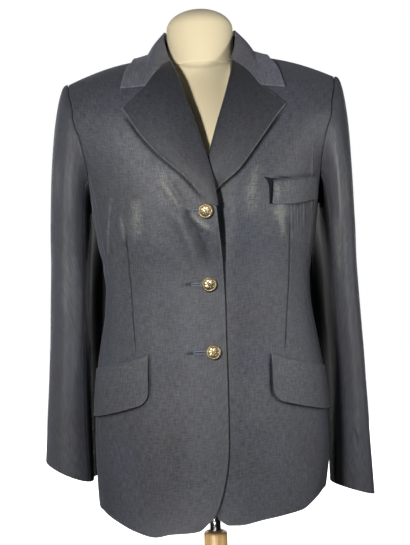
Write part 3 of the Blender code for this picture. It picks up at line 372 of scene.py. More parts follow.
# On a sleeve x runs round it, from its front line at 0 to its outer line at 0.079 and its back at 0.157
SLEEVE_CREASES = {
    RIGHT: (
        (0.012, 0.115, -0.0105, 0.08, 0.003, 0.0045, -0.0011, 0.7),
        (-0.03, 0.088, -0.056, 0.1, 0.005, 0.005, -0.001, 0.6),
        (-0.013, 0.618, 0.002, 0.608, 0.002, 0.005, -0.0007, 0.7),
        (-0.025, 0.43, 0.035, 0.38, 0.006, 0.011, -0.0006, 0.6),
        (-0.03, 0.375, 0.025, 0.34, 0.006, 0.011, -0.0006, 0.6),
        (0.0, 0.57, -0.002, 0.47, 0.001, 0.004, 0.0004, 0.7),
        (0.15, 0.44, 0.09, 0.39, 0.008, 0.011, -0.0016, 0.6),
        (0.16, 0.395, 0.1, 0.355, 0.007, 0.01, -0.0017, 0.6),
        (0.155, 0.33, 0.105, 0.305, 0.006, 0.01, -0.0013, 0.6),
        (0.145, 0.23, 0.095, 0.18, 0.006, 0.011, -0.0011, 0.6),
    ),
    LEFT: (
        (-0.016, 0.142, -0.003, 0.1, 0.003, 0.0045, -0.001, 0.7),
        (0.006, 0.125, 0.02, 0.09, 0.003, 0.006, -0.0008, 0.6),
        (0.0065, 0.6, -0.011, 0.415, -0.001, 0.0022, 0.0005, 0.5),
        (-0.028, 0.435, 0.03, 0.39, 0.006, 0.011, -0.0005, 0.6),
        (-0.03, 0.375, 0.02, 0.335, 0.006, 0.011, -0.0006, 0.6),
        (0.152, 0.43, 0.088, 0.38, 0.008, 0.011, -0.0016, 0.6),
        (0.16, 0.38, 0.098, 0.345, 0.007, 0.01, -0.0017, 0.6),
        (0.15, 0.315, 0.1, 0.29, 0.006, 0.01, -0.0012, 0.6),
        (0.14, 0.22, 0.09, 0.16, 0.006, 0.011, -0.0011, 0.6),
    ),
}
# Painted highlights on the fronts, where the bust, folds and the chest flap catch the lights: the same
# columns without the lip, with depth as its strength.
# Below zero it is painted shade: in folds, beside the dart, along the buttonholes, in pucker lines and under
# the hip flaps' edges
PAINTED_LIGHT = {
    RIGHT: (
        (0.1265, 0.476, 0.1195, 0.434, 0.0, 0.0028, 0.85),
        (0.1, 0.5, 0.1021, 0.435, 0.0, 0.009, 0.62),
        (0.0647, 0.525, 0.036, 0.47, 0.0, 0.0045, 0.55),
        (0.064, 0.545, 0.048, 0.48, 0.0, 0.013, 0.35),
        (0.09, 0.46, 0.05, 0.43, 0.0, 0.02, 0.15),
        (0.0235, 0.479, -0.012, 0.446, 0.006, 0.0034, 1.0),
        (0.0375, 0.479, 0.003, 0.386, -0.008, 0.007, -0.38),
        (0.06, 0.528, 0.034, 0.486, -0.002, 0.005, -0.22),
        (0.034, 0.473, 0.008, 0.474, 0.0, 0.0014, -0.85),
        (0.037, 0.369, 0.009, 0.369, 0.0, 0.0014, -0.85),
        (0.038, 0.269, 0.01, 0.269, 0.0, 0.0014, -0.85),
        (0.123, 0.465, 0.119, 0.425, 0.0, 0.0016, -0.45),
        (0.1388, 0.51, 0.151, 0.41, 0.0015, 0.0014, 0.35),
        (0.056, 0.235, 0.06, 0.15, 0.0, 0.025, 0.1),
        (0.0898, 0.27, 0.09, 0.2, 0.0, 0.0017, -0.7),
        (0.14, 0.44, 0.143, 0.32, 0.0, 0.012, 0.1),
        (0.118, 0.62, 0.1, 0.5, 0.0, 0.024, 0.1),
        (0.096, 0.193, 0.185, 0.165, 0.0, 0.002, -0.6),
    ),
    LEFT: (
        (0.08, 0.545, 0.059, 0.483, 0.0, 0.0065, 0.55),
        (0.074, 0.515, 0.064, 0.46, 0.0, 0.011, 0.3),
        (0.1075, 0.498, 0.11, 0.456, 0.0, 0.0085, 0.85),
        (0.112, 0.49, 0.1136, 0.43, 0.0, 0.004, 0.75),
        (0.16, 0.47, 0.156, 0.36, 0.0, 0.0035, 0.35),
        (0.1655, 0.565, 0.165, 0.45, -0.003, 0.0012, 0.4),
        (0.1207, 0.488, 0.12, 0.43, 0.0, 0.0011, -0.42),
        (0.13, 0.49, 0.1296, 0.44, 0.0, 0.001, -0.5),
        (0.133, 0.492, 0.133, 0.438, 0.0, 0.0011, 0.6),
        (0.1392, 0.493, 0.139, 0.445, 0.0, 0.001, -0.45),
        (0.1425, 0.493, 0.1422, 0.45, 0.0, 0.0011, 0.6),
        (0.15, 0.493, 0.1495, 0.45, 0.0, 0.001, -0.4),
        (0.064, 0.24, 0.062, 0.15, 0.0, 0.025, 0.1),
        (0.0882, 0.266, 0.0882, 0.196, 0.0, 0.0022, -0.8),
        (0.153, 0.49, 0.15, 0.3, 0.0, 0.016, 0.17),
        (0.168, 0.47, 0.165, 0.3, -0.003, 0.003, 0.5),
        (0.112, 0.5, 0.118, 0.456, 0.0, 0.014, 0.22),
        (0.094, 0.193, 0.185, 0.166, 0.0, 0.002, -0.6),
    ),
}
# Painted highlights on the sleeves, streaks where the lights catch them, in the same columns as the fronts'
# table
SLEEVE_PAINTED_LIGHT = {
    RIGHT: (
        (0.035, 0.57, 0.032, 0.5, 0.0, 0.009, 0.42),
        (0.0, 0.57, -0.002, 0.47, 0.001, 0.0035, 0.45),
        (0.018, 0.43, 0.015, 0.33, 0.0, 0.012, 0.16),
    ),
    LEFT: (
        (0.0065, 0.6, -0.011, 0.415, -0.001, 0.0026, 0.75),
        (-0.02, 0.47, -0.015, 0.37, 0.0, 0.008, 0.45),
        (0.025, 0.56, 0.018, 0.48, 0.0, 0.01, 0.18),
    ),
}
# The painted shadows of the chest flap's top and bottom edges on the front, as lines of x and height
FLAP_SHADOWS = (
    ((0.0985, 0.5194), (0.169, 0.5284)),
    ((0.0955, 0.4828), (0.1145, 0.4826), (0.133, 0.4841), (0.1515, 0.4876), (0.17, 0.4929)),
)
FLAP_SHADOW_WIDTH = 0.0017
# The lapel's painted shadow on the front, beside its edge
LAPEL_SHADOW = (0.0026, 0.0034)  # how far past the lapel's edge its dark line lies, and its width
# Painted highlight along the cloth's free edges: its strength and width
EDGE_PAINTED_LIGHT = 0.42
EDGE_PAINTED_LIGHT_WIDTH = 0.0010
# Painted highlights on the chest flap's front end, where it catches the light
FLAP_PAINTED_LIGHT = (
    (0.104, 0.516, 0.104, 0.488, 0.0, 0.004, 0.7),
    (0.115, 0.508, 0.123, 0.506, 0.0, 0.005, 0.35),
)
# Strengths of the painted shade: along the dart and the edges' shadows, on the sleeves' inner faces beside
# the body, and the darkest it may go
LINE_PAINTED_SHADE = 0.85  # how far sewn lines and the shadows of edges take the cloth towards black
INNER_SLEEVE_PAINTED_SHADE = 0.92
DARKEST_PAINTED_SHADE = -0.9

# Seams: how deep and wide the cloth falls towards them, and how far the stitches draw it in
SEAMS = {
    "front_side": (0.0007, 0.0010, 0.00012),
    "shoulder": (0.0007, 0.0010, 0.00016),
    "side_front": (0.0007, 0.0012, 0.00012),
    "side_back": (0.0009, 0.0014, 0.00018),
    "middle_back": (0.0009, 0.0014, 0.00018),
    "covered": (0.0008, 0.0014, 0.0),
    "armhole": (0.0003, 0.0009, 0.0),
    "sleeve": (0.0008, 0.0012, 0.00014),
}
# How far each kind of piece waves out of its plain surface
FRONT_WAVE, FLANK_WAVE, BACK_WAVE, SLEEVE_WAVE = 0.00022, 0.00025, 0.00035, 0.00035
GATHER_HEIGHT, GATHER_REACH = 0.00018, 0.016  # the small gathers round a sleeve's head
DART_GROOVE, DART_SWELL = (0.0012, 0.0008), (0.0004, 0.0080)  # depth and width, and height and width

# Points in each kind of piece: rows and columns, and for a lapel and the collar the column at the notch
FRONT_POINTS = (290, 140)
FLANK_POINTS = (180, 34)
BACK_POINTS = (160, 76)
LAPEL_POINTS = (130, 64, 38)
COLLAR_POINTS = (96, 46, 23)
SLEEVE_ROWS = (74, 104)  # over the cap, and down the arm
TOP_SLEEVE_LINES, UNDER_SLEEVE_LINES = 100, 46
HIP_FLAP_POINTS, CHEST_FLAP_POINTS = (50, 90), (40, 80)
ARMHOLE_POINTS = 640
# Where a front's points stand closer together: the share across it or up it, how wide, and how strongly
FRONT_CROWDS_ACROSS = ((0.57, 0.035, 5), (0, 0.010, 5), (1, 0.010, 5), (0.80, 0.10, 1.5))
FRONT_CROWDS_UP = ((0, 0.004, 6), (1, 0.004, 6), (0.226, 0.03, 1.0))
FRONT_DETAIL_UP = {
    RIGHT: ((0.645, 0.012, 3), (0.494, 0.012, 3), (0.352, 0.012, 3)),
    LEFT: ((0.69, 0.035, 4),),
}


def smooth(xs, ys, at):
    """A smooth curve through the points, with no overshoot between them: a monotone cubic."""
    xs, ys, at = np.asarray(xs, float), np.asarray(ys, float), np.asarray(at, float)
    steps, slopes = np.diff(xs), np.diff(ys) / np.diff(xs)
    tangents = np.empty_like(ys)
    tangents[0], tangents[-1] = slopes[0], slopes[-1]
    product = slopes[:-1] * slopes[1:]
    total = slopes[:-1] + slopes[1:]
    safe = np.where(np.abs(total) < 1e-12, 1.0, total)
    tangents[1:-1] = np.where(product > 0, 2 * product / safe, 0.0)
    at = np.clip(at, xs[0], xs[-1])
    i = np.clip(np.searchsorted(xs, at, side="right") - 1, 0, len(steps) - 1)
    t = (at - xs[i]) / steps[i]
    return (
        ys[i] * (1 + 2 * t) * (1 - t) ** 2
        + ys[i + 1] * t * t * (3 - 2 * t)
        + steps[i] * (tangents[i] * t * (1 - t) ** 2 - tangents[i + 1] * t * t * (1 - t))
    )


def ease(value, low, high):
    """0 below low, 1 above high, and an S between them."""
    t = np.clip((value - low) / (high - low), 0, 1)
    return t * t * (3 - 2 * t)


def bell(value, width, middle=0.0):
    """A bell of height 1: e to minus the square of the distance from the middle, in widths."""
    return np.exp(-(((value - middle) / width) ** 2))


def unit(vectors):
    """Each vector at length 1."""
    return vectors / np.maximum(np.linalg.norm(vectors, axis=-1, keepdims=True), 1e-12)


def power(value, exponent):
    """A power that keeps the value's sign."""
    return np.sign(value) * np.abs(value) ** exponent


def arc(radius, turns):
    """Points of a circle about the origin, at these angles."""
    return [(math.cos(turn) * radius, math.sin(turn) * radius) for turn in turns]


TORSO_LINES = dict(zip(TORSO_COLUMNS, np.array(TORSO, float).T))


def torso_size(column, level):
    """One of the torso's measures at these levels."""
    return smooth(TORSO_LINES["height"], TORSO_LINES[column], level)


def shoulder_line(x):
    """Height of the shoulder seam at this distance from the middle: it falls by a power of the distance."""
    return NECK_POINT_HEIGHT - SHOULDER_DROP * np.clip(np.abs(x) - NECK_HALF_WIDTH, 0, None) ** SHOULDER_BEND


def rounding_start(angle):
    """The height where the ring starts to lean in, from the chest in front to the blades behind."""
    return CHEST_HEIGHT + (BLADE_HEIGHT - CHEST_HEIGHT) * (1 - np.cos(angle)) / 2


def top_level(angle):
    """The level at which the torso surface reaches the shoulder seam."""
    start = rounding_start(angle)
    return start + (SHOULDER_LEVEL - start) * math.pi / 2


def torso_surface(angle, level):
    """The jacket's outer surface on its left half: a ring of powers of sine and cosine at each level.

    Above the chest the ring leans in by a quarter of an ellipse, and at top_level it has closed on the
    shoulder seam. The bust is a low bell on the front.
    """
    start = rounding_start(angle)
    lean = np.clip((level - start) / (SHOULDER_LEVEL - start), 0, math.pi / 2)
    x = torso_size("half_width", level) * power(np.sin(angle), 2 / RING_POWER)
    height = np.where(level > start, start + (shoulder_line(x) - start) * np.sin(lean), level)
    front = np.cos(angle) > 0
    depth = np.where(front, torso_size("front_depth", level), torso_size("back_depth", level))
    y = -depth * power(np.cos(angle), 2 / RING_POWER) * np.cos(lean)
    bust = np.exp(-(((np.abs(x) - BUST_X) / BUST_WIDTH) ** 2) - ((height - BUST_HEIGHT) / BUST_TALLNESS) ** 2)
    y = y - np.where(front, BUST_FULLNESS * bust * np.abs(np.cos(angle)), 0)
    return np.stack([x, y, height], axis=-1)


def torso_normal(angle, level):
    """The way the torso surface faces, from its slopes round and up."""
    step = 1e-4
    around = torso_surface(angle + step, level) - torso_surface(angle - step, level)
    up = torso_surface(angle, level) - torso_surface(angle, level - step)
    return unit(np.cross(around, up))


def torso(chart_points, out=0.0):
    """Points over the torso surface at charted (angle, level), this far out of it."""
    angle, level = chart_points[..., 0], chart_points[..., 1]
    return torso_surface(angle, level) + torso_normal(angle, level) * np.asarray(out)[..., None]


def chart(x, height, back=False):
    """The (angle, level) of the surface point at this distance from the middle and this height."""
    x, height = np.broadcast_arrays(np.asarray(x, float), np.asarray(height, float))
    angle = np.full(x.shape, math.pi * 0.75 if back else math.pi * 0.25)
    for _ in range(30):
        start = rounding_start(angle)
        share = np.clip((height - start) / (shoulder_line(x) - start), 0, 1)
        level = np.where(height > start, start + (SHOULDER_LEVEL - start) * np.arcsin(share), height)
        reach = np.clip(x / torso_size("half_width", level), -1, 1)
        found = np.arcsin(power(reach, RING_POWER / 2))
        angle = math.pi - found if back else found
    return np.stack([angle, level], axis=-1)


def line_chart(points, back=False):
    """A line of (x, height) points, charted."""
    points = np.array(points, float)
    return chart(points[:, 0], points[:, 1], back)


def by_level(line, levels):
    """A charted line, which rises, read at these levels."""
    line = line[np.argsort(line[:, 1])]
    return np.stack([smooth(line[:, 1], line[:, 0], levels), levels], axis=-1)


def by_length(line, count, shares=None):
    """A line of points read at equal shares of its length."""
    line = np.asarray(line, float)
    length = np.concatenate([[0], np.cumsum(np.linalg.norm(np.diff(line, axis=0), axis=1))])
    shares = np.linspace(0, 1, count) if shares is None else np.asarray(shares)
    return np.stack([smooth(length, line[:, k], shares * length[-1]) for k in range(line.shape[1])], axis=-1)


def crowd(count, *bells):
    """Shares from 0 to 1 that stand closer together round each bell of density: (focus, width, strength)."""
    fine = np.linspace(0, 1, 4001)
    density = 1 + sum(strength * np.exp(-(((fine - focus) / width) ** 2)) for focus, width, strength in bells)
    total = np.concatenate([[0], np.cumsum((density[1:] + density[:-1]) / 2)])
    return np.interp(np.linspace(0, total[-1], count), total, fine)


def patch(first, last, bottom, top, across=None, upward=None):
    """A Coons patch: rows run from the first line to the last, and fit the bottom and the top line."""
    rows, columns = len(first), len(bottom)
    v = (np.linspace(0, 1, rows) if upward is None else upward)[:, None, None]
    u = (np.linspace(0, 1, columns) if across is None else across)[None, :, None]
    sideways = (1 - u) * first[:, None] + u * last[:, None]
    lengthways = (1 - v) * bottom[None] + v * top[None]
    corners = (1 - v) * ((1 - u) * bottom[0] + u * bottom[-1]) + v * ((1 - u) * top[0] + u * top[-1])
    return sideways + lengthways - corners


def armhole_edge(back=False):
    """The charted armhole from the panel's side seam up to the shoulder."""
    line = line_chart(ARMHOLE_BACK if back else ARMHOLE_FRONT, back)[::-1]
    line[-1, 1] = top_level(line[-1, 0])
    return line


def panel_gap(angle, sign):
    """An angle moved by half a seam gap."""
    return angle + sign * SEAM_GAP / 2 / BODY_ROUND


def inner_edge(side):
    """The charted front edge, then the break line, up to the neck point."""
    line = line_chart([(-x, height) for x, height in FRONT_EDGE + BREAK_LINE[side] + (NECK_POINT,)])
    line[-1, 1] = top_level(line[-1, 0])
    return line


def outer_side(hem_end, arm, levels, sign):
    """A panel's charted outer side at these levels: straight up the side seam, then round the armhole."""
    up_seam = np.clip((levels - hem_end[1]) / (arm[0, 1] - hem_end[1]), 0, 1)
    on_seam = hem_end[0] + up_seam * (arm[0, 0] - hem_end[0])
    angles = np.where(levels <= arm[0, 1], on_seam, smooth(arm[:, 1], arm[:, 0], levels))
    return np.stack([panel_gap(angles, sign), levels], axis=-1)


def front_chart(side, upward, across):
    """A front from its edge and break line to the side seam and armhole, up to the shoulder seam."""
    inner = inner_edge(side)
    arm = armhole_edge()
    levels = HEM_SIDE_SEAM[side] + upward * (arm[-1, 1] - HEM_SIDE_SEAM[side])
    first = by_level(inner, inner[0, 1] + upward * (inner[-1, 1] - inner[0, 1]))
    last = outer_side(np.array((SIDE_SEAM_AT_HEM, HEM_SIDE_SEAM[side])), arm, levels, -1)
    hem = line_chart(HEM_FRONT[side])
    hem_angles = first[0, 0] + across * (last[0, 0] - first[0, 0])
    bottom = np.stack([hem_angles, smooth(hem[:, 0], hem[:, 1], hem_angles)], axis=-1)
    bottom[0], bottom[-1] = first[0], last[0]
    top_angles = first[-1, 0] + across * (last[-1, 0] - first[-1, 0])
    top = np.stack([top_angles, top_level(top_angles) - SHOULDER_SEAM], axis=-1)
    first[-1], last[-1] = top[0], top[-1]
    return patch(first, last, bottom, top, across, upward)


def side_chart(side, rows, columns):
    """The side panel, between the front and the back, up to the bottom of the armhole."""
    front_end, back_end = armhole_edge()[0], armhole_edge(back=True)[0]
    shares = np.linspace(0, 1, rows)[:, None]
    seam = np.array([SIDE_SEAM_AT_HEM, HEM_SIDE_SEAM[side]])
    back_seam = np.array([BACK_SEAM_AT_HEM, HEM_BACK_SEAM[side]])
    first = seam + shares * (front_end - seam)
    last = back_seam + shares * (back_end - back_seam)
    first[:, 0] = panel_gap(first[:, 0], 1)
    last[:, 0] = panel_gap(last[:, 0], -1)
    middle = np.array([math.pi / 2, ARMHOLE_BOTTOM])
    halfway = [(side_end + middle) / 2 + ARMHOLE_DIP for side_end in (first[-1], last[-1])]
    corners = [first[-1], halfway[0], middle, halfway[1], last[-1]]
    return patch(first, last, by_length([first[0], last[0]], columns), by_length(corners, columns))


def back_chart(side, rows, columns):
    """Half of the back, from the side seam and armhole to the middle seam, under the collar at the neck."""
    arm = armhole_edge(back=True)
    levels = np.linspace(HEM_BACK_SEAM[side], arm[-1, 1], rows)
    shares = (levels - levels[0]) / (levels[-1] - levels[0])
    first = outer_side(np.array([BACK_SEAM_AT_HEM, HEM_BACK_SEAM[side]]), arm, levels, 1)
    neck = chart(NAPE_X, NAPE_HEIGHT, back=True)
    up_middle = HEM_MIDDLE_BACK + shares * (neck[1] - HEM_MIDDLE_BACK)
    last = np.stack([np.full(rows, math.pi - MIDDLE_SEAM_TURN), up_middle], axis=-1)
    neck_point = chart(-NECK_POINT[0], NECK_POINT[1], back=True)
    neck_point[1] = top_level(neck_point[0]) - SHOULDER_SEAM
    across = np.linspace(0, 1, columns)
    first[-1, 1] -= SHOULDER_SEAM
    on_shoulder = np.minimum(across / BACK_SHOULDER_SHARE, 1)[:, None]
    on_neck = ease(across, BACK_SHOULDER_SHARE, 1.0)[:, None]
    top = first[-1] + on_shoulder * (neck_point - first[-1])
    top[:, 1] = np.minimum(top[:, 1], top_level(top[:, 0]) - SHOULDER_SEAM)
    top = top + on_neck * (last[-1] - neck_point)
    return patch(first, last, by_length([first[0], last[0]], columns), top)


def over_lift(x, height):
    """How far the right front stands out, over the left one. x is the true x."""
    near = ease(x, OVERLAP_START, OVERLAP_FULL)
    crossing = CROSSING_LIFT * bell(height, CROSSING_TALLNESS, CROSSING_HEIGHT)
    gape = GAPE * bell(height, GAPE_TALLNESS, GAPE_HEIGHT) * ease(x, -0.050, 0.025)
    return near * (OVERLAP_LIFT + crossing) * (1 - ease(height, 0.60, 0.68)) + gape


def lifted(side, grid, out=0.0):
    """The charted points as places on that side, over whatever the front of that side lies on."""
    points = torso(grid)
    if side == RIGHT:
        front = (grid[..., 0] < math.pi / 2) * 1.0
        out = out + front * over_lift(-points[..., 0], points[..., 2])
    points = torso(grid, np.broadcast_to(out, grid.shape[:-1]))
    if side == LEFT:
        x, height = points[..., 0], points[..., 2]
        under = ease(-x, *UNDERLAP) * (grid[..., 0] < math.pi / 2) * (1 - ease(height, *UNDERLAP_TOP))
        deeper, middle, size = UNDERLAP_HOLLOW
        sink = UNDERLAP_SINK + deeper * bell(height, size, middle)
        points = points - torso_normal(grid[..., 0], grid[..., 1]) * (sink * under)[..., None]
        lean = HEM_TUCK * (1 - ease(points[..., 2], 0.02, HEM_TUCK_FROM)) * np.sin(grid[..., 0]) ** 6
        points[..., 0] -= lean
    return points * (side, 1, 1)


def lifted_normal(side, grid):
    """The way the lifted front faces at each charted point."""
    step = 1e-3
    around = lifted(side, grid + (step, 0)) - lifted(side, grid - (step, 0))
    up = lifted(side, grid + (0, step)) - lifted(side, grid - (0, step))
    return unit(np.cross(around, up)) * side


def gorge(side, shares):
    """The seam between lapel and collar, from the roll at the neck out to the notch, in a low arch."""
    start = np.array(COLLAR_ROLL[-1]) * (side, 1, 1)
    notch = line_chart([(-LAPEL_NOTCH[side][0], LAPEL_NOTCH[side][1])])
    end = lifted(side, notch, COLLAR_REST + 0.001)[0]
    across = lifted_normal(side, notch)[0] * GORGE_ARCH
    shares = shares[:, None]
    return start + shares * (end - start) + across * np.sin(math.pi * shares)


ROLL_TURNS = np.radians(np.arange(-90, 91, 12))  # where a lapel's roll is read, from inside to outside
FACING_STEPS = (1.0, 0.75, 0.5, 0.25)


def lapel_grid(side, rows, columns, corner):
    """The lapel's visible face. Each row starts inside the front, rolls round its edge and crosses the chest.

    In a row, the roll is half a circle about the front's edge, and the rest keeps a low arch over the chest.
    The top row follows the gorge out to the notch, which is the corner column.
    """
    roll = line_chart([(-x, height) for x, height in (BREAK_LINE[side][0], BREAK_LINE[side][-1])])
    edge = line_chart([(-x, height) for x, height in LAPEL_EDGE[side]])
    notch = line_chart([(-LAPEL_NOTCH[side][0], LAPEL_NOTCH[side][1])])[0]
    up = crowd(rows, (1, 0.012, 5), (0, 0.02, 2))[:, None]
    first = by_level(inner_edge(side), roll[0, 1] + up[:, 0] * (roll[-1, 1] - roll[0, 1]))
    last = by_length(edge, rows, up[:, 0])
    across = crowd(columns, (1, 0.03, 6))
    to_notch = np.linspace(0, 1, corner + 1)[:, None]
    to_tip = crowd(columns - corner, (1, 0.06, 6))[1:, None]
    top = np.concatenate([first[-1] + to_notch * (notch - first[-1]), notch + to_tip * (last[-1] - notch)])
    bottom = first[0] + across[:, None] * (last[0] - first[0])
    flat = patch(first, last, bottom, top, across, up[:, 0])
    arch = np.sin(math.pi * across) ** 0.8 * (0.05 + 0.95 * up**0.7)
    face = lifted(side, flat, LAPEL_REST + LAPEL_LOFT * arch)
    seam = gorge(side, to_notch[:, 0])
    downward = unit(face[-2, : corner + 1] - face[-1, : corner + 1])
    move = np.zeros((columns, 3))
    move[: corner + 1] = seam + downward * SEAM_GAP - face[-1, : corner + 1]
    move[corner + 1 :] = move[corner] * (1 - to_tip)
    face = face + ease(up, 0.6, 1.0)[..., None] * move
    base = lifted(side, first)
    normal = lifted_normal(side, first)
    along = unit(np.gradient(base, axis=0))
    outward = unit(np.cross(normal, along) * side)
    centre = base - normal * (CLOTH / 2) - outward * ROLL_INSET
    inside = [centre - outward * FACING_TURN * share - normal * ROLL_RADIUS for share in FACING_STEPS]
    rolled = [centre + outward * c + normal * s for c, s in arc(ROLL_RADIUS, ROLL_TURNS)]
    wrap = np.stack(inside + rolled, axis=1)
    return np.concatenate([wrap, face[:, 1:]], axis=1)


def collar_lines(side, along):
    """The collar's roll line and outer edge, from the middle of the back to the front end."""
    count = len(along)
    roll = by_length(COLLAR_ROLL, count, along)
    back = torso(line_chart(COLLAR_EDGE_BACK, back=True), np.full(3, COLLAR_REST))
    front = torso(line_chart(COLLAR_EDGE_FRONT[side]), np.full(3, COLLAR_REST))
    over = [(x, y, shoulder_line(x) + COLLAR_REST) for x, y in COLLAR_RIDGE]
    edge = by_length(np.concatenate([back, over, front]), count, along)
    return roll * (side, 1, 1), edge * (side, 1, 1)


COLLAR_TURNS = np.radians(np.arange(180, 62, -14))
COLLAR_FALL_FROM = math.radians(55)  # where on the roll's circle the fall begins
STAND_SHARES = np.linspace(1, 0.12, 8)  # where the stand is read, from its seam up


def collar_half(side, count, columns, corner):
    """Half of the collar's visible face: up the stand, over the roll and down the fall.

    Its front end follows the gorge out to the notch, which is the corner column, and then goes to the tip.
    """
    along = crowd(count, (1, 0.02, 5))
    roll, edge = collar_lines(side, along)
    across = crowd(columns, (1, 0.04, 6))[:, None]
    to_notch = np.linspace(0, 1, corner + 1)
    to_tip = crowd(columns - corner, (1, 0.08, 6))[1:, None]
    backward = unit(roll[-2] - roll[-1])
    seam = gorge(side, to_notch) + backward * SEAM_GAP * (3 - 2 * to_notch[:, None])
    end = np.concatenate([seam, seam[-1] + to_tip * (edge[-1] - seam[-1])])
    roll[-1] = end[0]
    start = roll[0] + across * (edge[0] - roll[0])
    fall = patch(roll, edge, start, end, across[:, 0], along)
    away = unit(np.cross(np.gradient(fall, axis=0), np.gradient(fall, axis=1)) * side)
    fade = 1 - ease(along, 0.75, 1.0)[:, None, None]
    fall = fall + away * COLLAR_LOFT * np.sin(math.pi * across)[None] * fade
    tangent = unit(np.gradient(roll, axis=0))
    outward = unit(unit(edge - roll) * (1, 1, 0))
    up = unit(np.cross(tangent, outward) * side)
    up = np.where(up[:, 2:3] < 0, -up, up)
    to_fall = outward * math.cos(COLLAR_FALL_FROM) + up * math.sin(COLLAR_FALL_FROM)
    centre = roll - to_fall * COLLAR_ROLL_RADIUS
    over = [centre + outward * c + up * s for c, s in arc(COLLAR_ROLL_RADIUS, COLLAR_TURNS)]
    tall = (1 - STAND_TAPER * along)[:, None] * STAND_HEIGHT
    lean = COLLAR_ROLL_RADIUS - COLLAR_STAND_LEAN * STAND_SHARES
    stand = [centre - outward * inset - up * tall * share for inset, share in zip(lean, STAND_SHARES)]
    return np.concatenate([np.stack(stand + over, axis=1), fall], axis=1)


def collar_grid(count, columns, corner):
    """Both halves of the collar as one sheet, joined at the middle of the back."""
    right = collar_half(RIGHT, count, columns, corner)
    left = collar_half(LEFT, count, columns, corner)
    middle = (right[:1] + left[:1]) / 2
    return np.concatenate([left[:0:-1], middle, right[1:]], axis=0)


def armhole_loop(side, turns):
    """The armhole's points, normals and inward directions, read at angles round it: 0 front, 90 top."""
    front, back = armhole_edge()[::-1], armhole_edge(back=True)
    bottom = np.array([(math.pi / 2, ARMHOLE_BOTTOM)])
    before, behind = [[(side_end + bottom[0]) / 2 + ARMHOLE_DIP] for side_end in (front[-1], back[0])]
    dense = by_length(np.concatenate([front, before, bottom, behind, back]), ARMHOLE_POINTS)
    level = np.minimum(dense[:, 1], top_level(dense[:, 0]) - SHOULDER_SEAM)
    points = torso_surface(dense[:, 0], level)
    normals = torso_normal(dense[:, 0], level)
    along = unit(np.gradient(points, axis=0))
    inward = unit(np.cross(normals, along))
    centre = np.array([0.2, 0.0, ARMHOLE_MIDDLE])
    inward = np.where(((centre - points) * (0, 1, 1) * inward).sum(1, keepdims=True) < 0, -inward, inward)
    rise = (points[:, 2] - ARMHOLE_MIDDLE) / ARMHOLE_HALF_HEIGHT
    around = np.arctan2(rise, -points[:, 1] / ARMHOLE_HALF_DEPTH)
    around = np.where(around > math.pi / 2 + 1e-6, around - 2 * math.pi, around)
    order = np.argsort(-around)
    around, stacked = around[order], np.concatenate([points, normals, inward], axis=1)[order]
    wrapped = np.where(turns > math.pi / 2, turns - 2 * math.pi, turns)
    read = np.stack([np.interp(-wrapped, -around, stacked[:, k]) for k in range(9)], axis=-1)
    mirror = (side, 1, 1)
    return read[:, :3] * mirror, unit(read[:, 3:6] * mirror), unit(read[:, 6:] * mirror)


def sleeve_ring(side, height, turns):
    """The sleeve's outline at a height: an oval turned by its twist, its back half tucked in."""
    rows = np.array(SLEEVE[side][::-1], float)
    read = {name: smooth(rows[:, 0], rows[:, k], height) for k, name in enumerate(SLEEVE_COLUMNS) if k}
    out = read["half_width"] * np.sin(turns)
    back = -read["half_depth"] * np.cos(turns)
    twist = np.radians(read["twist"])
    x = out * np.cos(twist) + back * np.sin(twist)
    y = back * np.cos(twist) - out * np.sin(twist)
    x = x - read["tuck"] * np.clip(y / read["half_depth"], 0, None) ** 2
    return side * (read["middle_x"] + x), read["middle_y"] + y


def sleeve_grid(side, turns, cap_rows, arm_rows):
    """The sleeve's outer face: curves from the armhole to the bicep ring, then rings down to the cuff.

    Each curve of the cap is a Hermite cubic that leaves the armhole sideways and arrives hanging down.
    """
    columns = len(turns)
    edge, normal, inward = armhole_loop(side, turns)
    start = edge + inward * SLEEVE_SEAM_GAP
    x, y = sleeve_ring(side, np.full(columns, BICEP_HEIGHT), turns)
    end = np.stack([x, y, np.full(columns, BICEP_HEIGHT)], axis=-1)
    topness = (1 + np.sin(turns)) / 2
    reach = CAP_REACH_BOTTOM + (CAP_REACH_TOP - CAP_REACH_BOTTOM) * topness
    leave = unit(0.35 * normal + 0.65 * np.array([side, 0, 0])) * reach[:, None]
    hang = np.linalg.norm(end - start, axis=1)[:, None] * np.array([0.02 * side, 0, -1.15])
    s = np.linspace(0, 1, cap_rows)[:, None, None] ** 1.25
    cap = (
        start * (1 + 2 * s) * (1 - s) ** 2
        + end * s * s * (3 - 2 * s)
        + leave * s * (1 - s) ** 2
        - hang * s * s * (1 - s)
    )
    base, outward_rise, backward_rise = CUFF[side]
    rows = np.array(SLEEVE[side][::-1], float)
    share = crowd(arm_rows, (1, 0.008, 6))[1:, None]
    nominal = BICEP_HEIGHT + share * (base - BICEP_HEIGHT) + 0 * turns
    x, y = sleeve_ring(side, nominal, turns)
    slant = (np.abs(x) - smooth(rows[:, 0], rows[:, 1], nominal)) * outward_rise + y * backward_rise
    arm = np.stack([x, y, nominal + slant * share**3], axis=-1)
    return np.concatenate([cap, arm], axis=0)


def flap_chart(corners, corner_radius, sag, upward, across):
    """A flap's charted face: its lower edge sags in a bow, and its front corner is cut to an arc."""
    across = across[:, None]
    spots = {key: np.array(place) for key, place in corners.items()}
    top, bottom = [
        spots[f"{edge}_front"] + across * (spots[f"{edge}_back"] - spots[f"{edge}_front"])
        for edge in ("top", "bottom")
    ]
    bottom[:, 1] -= sag * np.sin(math.pi * across[:, 0] ** 0.75)
    from_front = np.abs(bottom[:, 0] - bottom[0, 0])
    inside = np.clip(1 - from_front / corner_radius, 0, 1)
    bottom[:, 1] += corner_radius * (1 - np.sqrt(1 - inside**2))
    places = bottom + upward[:, None, None] * (top - bottom)
    return chart(places[..., 0], places[..., 1])


